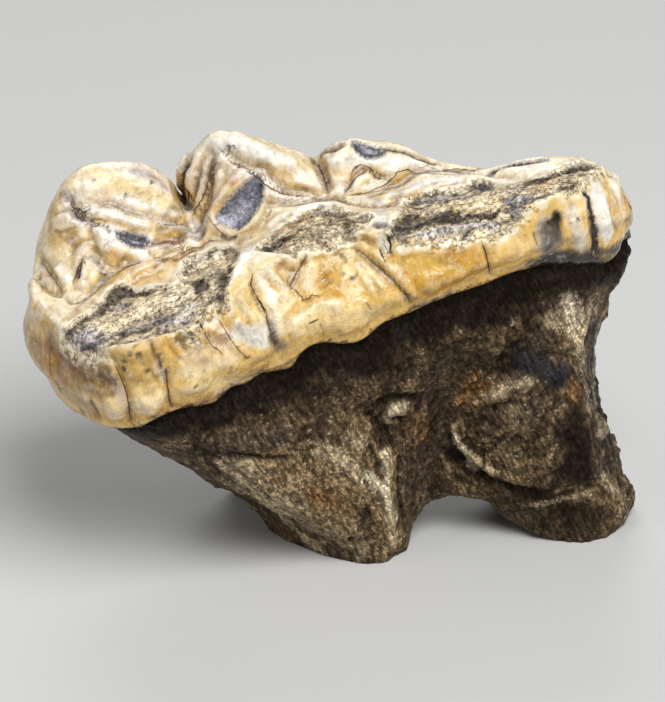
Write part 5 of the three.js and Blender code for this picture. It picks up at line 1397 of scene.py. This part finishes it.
fossil = bpy.data.materials.new("fossil_tooth")
fossil.use_nodes = True
nodes, wires = fossil.node_tree.nodes, fossil.node_tree.links
shader = nodes["Principled BSDF"]


def wire(source, target):
    if isinstance(source, (int, float)):
        target.default_value = source
    elif isinstance(source, tuple):
        target.default_value = (*source, 1)
    else:
        wires.new(source, target)


def maths(kind, *values, clamp=False):
    node = nodes.new("ShaderNodeMath")
    node.operation = kind
    node.use_clamp = clamp
    for value, socket in zip(values, node.inputs):
        wire(value, socket)
    return node.outputs[0]


def gathered(kind, values):
    total = values[0]
    for value in values[1:]:
        total = maths(kind, total, value)
    return total


def times(*values):
    return gathered("MULTIPLY", values)


def plus(*values):
    return gathered("ADD", values)


def minus(a, b):
    return maths("SUBTRACT", a, b)


def inverse(a):
    return minus(1.0, a)


def ramp(value, low, high, result_low=0.0, result_high=1.0):
    node = nodes.new("ShaderNodeMapRange")
    node.interpolation_type = "SMOOTHSTEP"
    for number, name in ((value, "Value"), (low, "From Min"), (high, "From Max"),
                         (result_low, "To Min"), (result_high, "To Max")):
        wire(number, node.inputs[name])
    return node.outputs[0]


def layered(share, under, over, blend="MIX"):
    node = nodes.new("ShaderNodeMix")
    node.data_type = "RGBA"
    node.blend_type = blend
    wire(share, node.inputs[0])
    wire(under, node.inputs[6])
    wire(over, node.inputs[7])
    return node.outputs[2]


def darkened_by(under, dirt, *shares):
    """A colour multiplied by a darker colour, as much as all the shares together say."""
    return layered(times(*shares), under, dirt, "MULTIPLY")


def flecked(under, fleck, *shares):
    return layered(times(*shares), under, fleck)


def kept_layer(name, output):
    node = nodes.new("ShaderNodeAttribute")
    node.attribute_name = name
    return node.outputs[output]


def parts_of(source):
    split = nodes.new("ShaderNodeSeparateXYZ")
    wires.new(source, split.inputs[0])
    return split.outputs


place = nodes.new("ShaderNodeTexCoord").outputs["Object"]


def lumps(size_mm, detail=3.0, rough=0.55, stretch=None, lean=-CROWN_TILT):
    source = place
    if stretch:
        mapping = nodes.new("ShaderNodeMapping")
        mapping.vector_type = "TEXTURE"
        mapping.inputs["Scale"].default_value = stretch
        mapping.inputs["Rotation"].default_value = (0, lean, 0)
        wires.new(place, mapping.inputs["Vector"])
        source = mapping.outputs[0]
    node = nodes.new("ShaderNodeTexNoise")
    node.inputs["Scale"].default_value = 1000 / size_mm
    node.inputs["Detail"].default_value = detail
    node.inputs["Roughness"].default_value = rough
    wires.new(source, node.inputs["Vector"])
    return node.outputs["Fac"]


def grains_of(size_mm, wander_mm):
    """Irregular grains packed together: a random shade for each, and how far off its edge is."""
    drift = nodes.new("ShaderNodeTexNoise")
    drift.inputs["Scale"].default_value = 700 / size_mm
    wires.new(place, drift.inputs["Vector"])
    moved = nodes.new("ShaderNodeVectorMath")
    moved.operation = "MULTIPLY_ADD"
    wires.new(drift.outputs["Color"], moved.inputs[0])
    moved.inputs[1].default_value = [wander_mm / 1000] * 3
    wires.new(place, moved.inputs[2])
    cells = []
    for feature in ("F1", "DISTANCE_TO_EDGE"):
        node = nodes.new("ShaderNodeTexVoronoi")
        node.feature = feature
        node.inputs["Scale"].default_value = 1000 / size_mm
        wires.new(moved.outputs[0], node.inputs["Vector"])
        cells.append(node)
    return parts_of(cells[0].outputs["Color"])[0], cells[1].outputs["Distance"]


def shaded(colour, brightness):
    node = nodes.new("ShaderNodeVectorMath")
    node.operation = "SCALE"
    wires.new(colour, node.inputs[0])
    wires.new(brightness, node.inputs["Scale"])
    return node.outputs[0]


worn_in, slate_in, neck_up = parts_of(kept_layer("edges", "Vector"))
crack_off, crack_gap, crack_ink = parts_of(kept_layer("crack", "Vector"))
blotching = kept_layer("blotch", "Fac")
painted = kept_layer("tint", "Color")

fine = lumps(0.34, 3, 0.6)
finer = lumps(0.18, 2, 0.6)
middling = lumps(0.9, 4, 0.6)
broad = lumps(2.4, 3, 0.5)
granules = lumps(0.6, 5, 0.7)
fibres = lumps(0.4, 3, 0.6, (1, 1, 4))
strands = lumps(0.3, 3, 0.6, (6, 1.5, 1))
threads = lumps(0.24, 3, 0.65, (1, 1, 6), -0.45)
crumb, crumb_edge = grains_of(0.34, 0.3)
grit, grit_edge = grains_of(0.17, 0.15)
plate_edge = grains_of(2.6, 2.4)[1]

ragged_edge = minus(granules, 0.5)
is_worn = ramp(plus(worn_in, times(ragged_edge, 1.4)), -0.06, 0.06)
is_slate = ramp(plus(slate_in, times(ragged_edge, 0.25)), -0.02, 0.02)
is_root = ramp(plus(neck_up, times(ragged_edge, 1.6)), 0.06, -0.06)
is_enamel = times(inverse(is_worn), inverse(is_root))
is_dentine = times(is_worn, inverse(is_slate))

# Enamel: fibrous from top to neck and clouded a little, crazed with hair-thin tea-coloured lines,
# sprinkled with dark specks and with chalky white flecks that are partly painted glints, and darkened
# where it ends at the neck, partly by dirt and partly as painted shadow under the lip.
clouds = ramp(middling, 0.36, 0.64, 1.12, 0.86)
marbled = shaded(painted, times(ramp(fibres, 0.42, 0.58, 0.94, 1.06), clouds))
marbled = darkened_by(marbled, TEA_CLOUD, ramp(broad, 0.54, 0.66, 0.0, 0.25))
marbled = darkened_by(marbled, HONEY_FLECK, ramp(fine, 0.56, 0.62), ramp(middling, 0.42, 0.58), 0.4)
# Chalky white flecks, partly painted glints.
marbled = flecked(marbled, CHALK_FLECK_AND_GLINT, ramp(fine, 0.44, 0.36), 0.18)
marbled = darkened_by(marbled, CRAZING, ramp(plate_edge, 0.012, 0.003), ramp(fine, 0.45, 0.55), 0.45)
marbled = darkened_by(marbled, DARK_SPECK, ramp(finer, 0.66, 0.71), ramp(broad, 0.5, 0.6), 0.75)
# Darker just above the neck: partly dirt, partly painted shadow under the enamel lip.
marbled = darkened_by(marbled, NECK_DIRT_AND_LIP_SHADOW, ramp(plus(neck_up, times(ragged_edge, 3.5)), 0.35, 0.0), 0.85)

brightness = nodes.new("ShaderNodeRGBToBW")
wires.new(painted, brightness.inputs[0])
lightness = brightness.outputs[0]
paleness = ramp(lightness, 0.06, 0.5)
red, _, blue = parts_of(painted)
warmth = ramp(minus(red, blue), 0.04, 0.2, 0.3, 1.0)

# Dentine: crumbs of cream, ash and gold with dark gaps between them, drawn out along the crown.
granular = ramp(granules, 0.38, 0.6, plus(0.25, times(paleness, 0.4)), 1.6)
crumbled = shaded(painted, times(ramp(crumb, 0.1, 0.9, 0.8, 1.28), granular))
crumbled = flecked(crumbled, CREAM_CRUMB, ramp(crumb, 0.6, 0.7), ramp(granules, 0.46, 0.56), paleness,
                   warmth, 0.6)
crumbled = flecked(crumbled, GOLD_GRIT, ramp(grit, 0.72, 0.8), plus(0.1, times(paleness, 0.4)))
crumbled = darkened_by(crumbled, BROWN_GRIT, ramp(grit, 0.26, 0.16), 0.75)
crumbled = darkened_by(crumbled, STRAND_GAP, ramp(strands, 0.42, 0.35), 0.6)
crumbled = darkened_by(crumbled, CRUMB_GAP, ramp(crumb_edge, 0.08, 0.02), ramp(fine, 0.56, 0.44), 0.8)

# Cementum: near black to tan, drawn out in threads down the roots, with pale grains where it is tan.
grainy = shaded(painted, times(ramp(threads, 0.36, 0.64, 0.55, 1.5), ramp(fine, 0.36, 0.64, 0.75, 1.25)))
grainy = shaded(grainy, ramp(granules, 0.40, 0.62, 0.7, 1.4))
paler = shaded(painted, plus(2.2, times(finer, 2.4)))
in_threads = ramp(plus(threads, times(blotching, 0.06)), 0.48, 0.58)
grainy = flecked(grainy, paler, ramp(finer, 0.54, 0.62), in_threads, 0.85, ramp(lightness, 0.015, 0.09))
grainy = flecked(grainy, PALE_GRAIN, ramp(grit, 0.955, 0.975), ramp(lightness, 0.02, 0.1), 0.8)
grainy = darkened_by(grainy, ROOT_PIT, ramp(finer, 0.42, 0.36, 0.0, 0.6))

# Slate: smooth and dark, with pale scratches and a few cream crumbs stuck on it.
polished = shaded(painted, times(ramp(fine, 0.4, 0.6, 0.7, 1.3), ramp(finer, 0.4, 0.6, 0.8, 1.25)))
polished = flecked(polished, SCRATCH, ramp(finer, 0.64, 0.68), ramp(middling, 0.42, 0.6), 0.7)
polished = flecked(polished, STUCK_CRUMB, ramp(slate_in, 0.16, 0.0), ramp(grit, 0.45, 0.6), 0.75)

surface = layered(is_worn, marbled, crumbled)
rim = times(ramp(worn_in, -0.34, -0.12), inverse(is_worn))
surface = flecked(surface, RIM_CRUMB, rim, ramp(granules, 0.58, 0.46), 0.75)
surface = layered(is_slate, surface, polished)
surface = layered(is_root, surface, grainy)

# Cracks: dark wandering lines with a tea-coloured halo, and black where the dirt in them is thick.
wobble = plus(crack_off, times(minus(fine, 0.5), 4.0))
breadth = plus(0.25, times(middling, 1.5))
strength = ramp(plus(crack_ink, times(middling, 0.9)), 0.65, 1.1)
inside_line = ramp(maths("ABSOLUTE", wobble), breadth, times(breadth, 0.4))
in_crack = times(inside_line, ramp(crack_gap, 0.5, 0.35), strength)
beside = times(ramp(crack_gap, 0.3, 0.0), crack_ink, ramp(fine, 0.35, 0.6, 0.1, 0.6))
crack_line = layered(ramp(crack_ink, 0.7, 1.0), CRACK_BROWN, CRACK_BLACK)
surface = darkened_by(surface, CRACK_HALO, beside, is_enamel)
surface = flecked(surface, crack_line, in_crack, ramp(crack_ink, 0.2, 0.9, 0.55, 1.0))
wires.new(surface, shader.inputs["Base Color"])

# Roughness, then how strongly each stuff reflects, then the relief of each in mm.
roughness = plus(ramp(middling, 0.3, 0.7, 0.1, 0.24), times(is_dentine, 0.14), times(is_root, 0.25))
wires.new(maths("ADD", roughness, times(in_crack, 0.3), clamp=True), shader.inputs["Roughness"])
polish = plus(0.05, times(is_enamel, 0.45), times(is_dentine, 0.2), times(is_slate, is_worn, 0.45))
wires.new(polish, shader.inputs["Specular IOR Level"])

enamel_height = plus(times(fibres, 0.01), times(middling, 0.13), times(fine, 0.02))
crumb_height = plus(times(ramp(crumb_edge, 0.0, 0.3), crumb, 0.05),
                    times(ramp(grit_edge, 0.0, 0.3), grit, 0.02))
dentine_height = plus(times(granules, 0.22), times(strands, 0.05), crumb_height)
root_height = plus(times(threads, 0.09), times(fine, 0.07), times(middling, 0.12))
height = plus(times(is_enamel, enamel_height), times(is_dentine, dentine_height),
              times(is_slate, is_worn, fine, 0.05), times(is_root, root_height))
height = minus(height, times(in_crack, 0.06))
relief = nodes.new("ShaderNodeBump")
relief.inputs["Strength"].default_value = 1.0
relief.inputs["Distance"].default_value = 0.001
wires.new(height, relief.inputs["Height"])
wires.new(relief.outputs[0], shader.inputs["Normal"])
shader.inputs["IOR"].default_value = ENAMEL_IOR

tooth.data.materials.clear()
tooth.data.materials.append(fossil)

at = stand(skin)
at[:, 2] = np.maximum(at[:, 2], 0)
at[:, :2] += MIDDLE
put_points(tooth, at / 1000)
bpy.ops.object.select_all(action="DESELECT")
tooth.select_set(True)
bpy.ops.object.shade_smooth()
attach(tooth, "root")
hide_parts("cave_bear_molar")

# --- Floor, light and camera -----------------------------------------------------------------------
# A plain pale floor, soft light from large lamps, and a camera that looks down at the tongue side.

FLOOR_SIZE = 3
FLOOR_GREY, FLOOR_ROUGHNESS = (0.62, 0.62, 0.61, 1), 0.9
ROOM_WHITE, ROOM_STRENGTH = (0.9, 0.92, 0.95, 1), 0.08
LAMP_TARGET = (0, 0, 0.02)
LAMPS = (
    # Name, place in m, side in m, watts.
    ("key", (0.06, -0.24, 0.36), 0.24, 1.75),
    ("fill", (0.40, -0.18, 0.22), 0.30, 0.45),
    ("left", (-0.36, -0.06, 0.30), 0.30, 0.4),
    ("back", (0.0, 0.34, 0.36), 0.26, 0.7),
)
CAMERA_AZIMUTH = math.radians(-12)
CAMERA_ELEVATION = math.radians(28)
CAMERA_DISTANCE = 0.33
CAMERA_TARGET = (MIDDLE[0] / 1000, MIDDLE[1] / 1000, 0.0145)
CAMERA_LENS = 236.9

bpy.ops.mesh.primitive_plane_add(size=FLOOR_SIZE)
floor = bpy.context.object
floor.name = floor.data.name = "floor"
plain = bpy.data.materials.new("pale_floor")
plain.use_nodes = True
plain.node_tree.nodes["Principled BSDF"].inputs["Base Color"].default_value = FLOOR_GREY
plain.node_tree.nodes["Principled BSDF"].inputs["Roughness"].default_value = FLOOR_ROUGHNESS
floor.data.materials.append(plain)


def aim(piece, spot, target):
    piece.location = spot
    toward = np.array(target, float) - np.array(spot, float)
    yaw = math.atan2(toward[0], toward[1])
    pitch = math.atan2(toward[2], math.hypot(toward[0], toward[1]))
    piece.rotation_euler = (math.pi / 2 + pitch, 0, -yaw)


for name, spot, side, watts in LAMPS:
    bpy.ops.object.light_add(type="AREA", location=spot)
    lamp = bpy.context.object
    lamp.name = name
    lamp.data.shape = "SQUARE"
    lamp.data.size = side
    lamp.data.energy = watts
    aim(lamp, spot, LAMP_TARGET)

world = bpy.data.worlds.new("soft_room")
world.use_nodes = True
world.node_tree.nodes["Background"].inputs["Color"].default_value = ROOM_WHITE
world.node_tree.nodes["Background"].inputs["Strength"].default_value = ROOM_STRENGTH
scene.world = world

back = (math.sin(CAMERA_AZIMUTH) * math.cos(CAMERA_ELEVATION),
        -math.cos(CAMERA_AZIMUTH) * math.cos(CAMERA_ELEVATION), math.sin(CAMERA_ELEVATION))
bpy.ops.object.camera_add()
camera = bpy.context.object
camera.name = "camera"
camera.data.lens = CAMERA_LENS
camera.data.sensor_width = 36
camera.data.clip_start = 0.01
aim(camera, [c + CAMERA_DISTANCE * b for c, b in zip(CAMERA_TARGET, back)], CAMERA_TARGET)
scene.camera = camera
scene.view_settings.view_transform = "Standard"
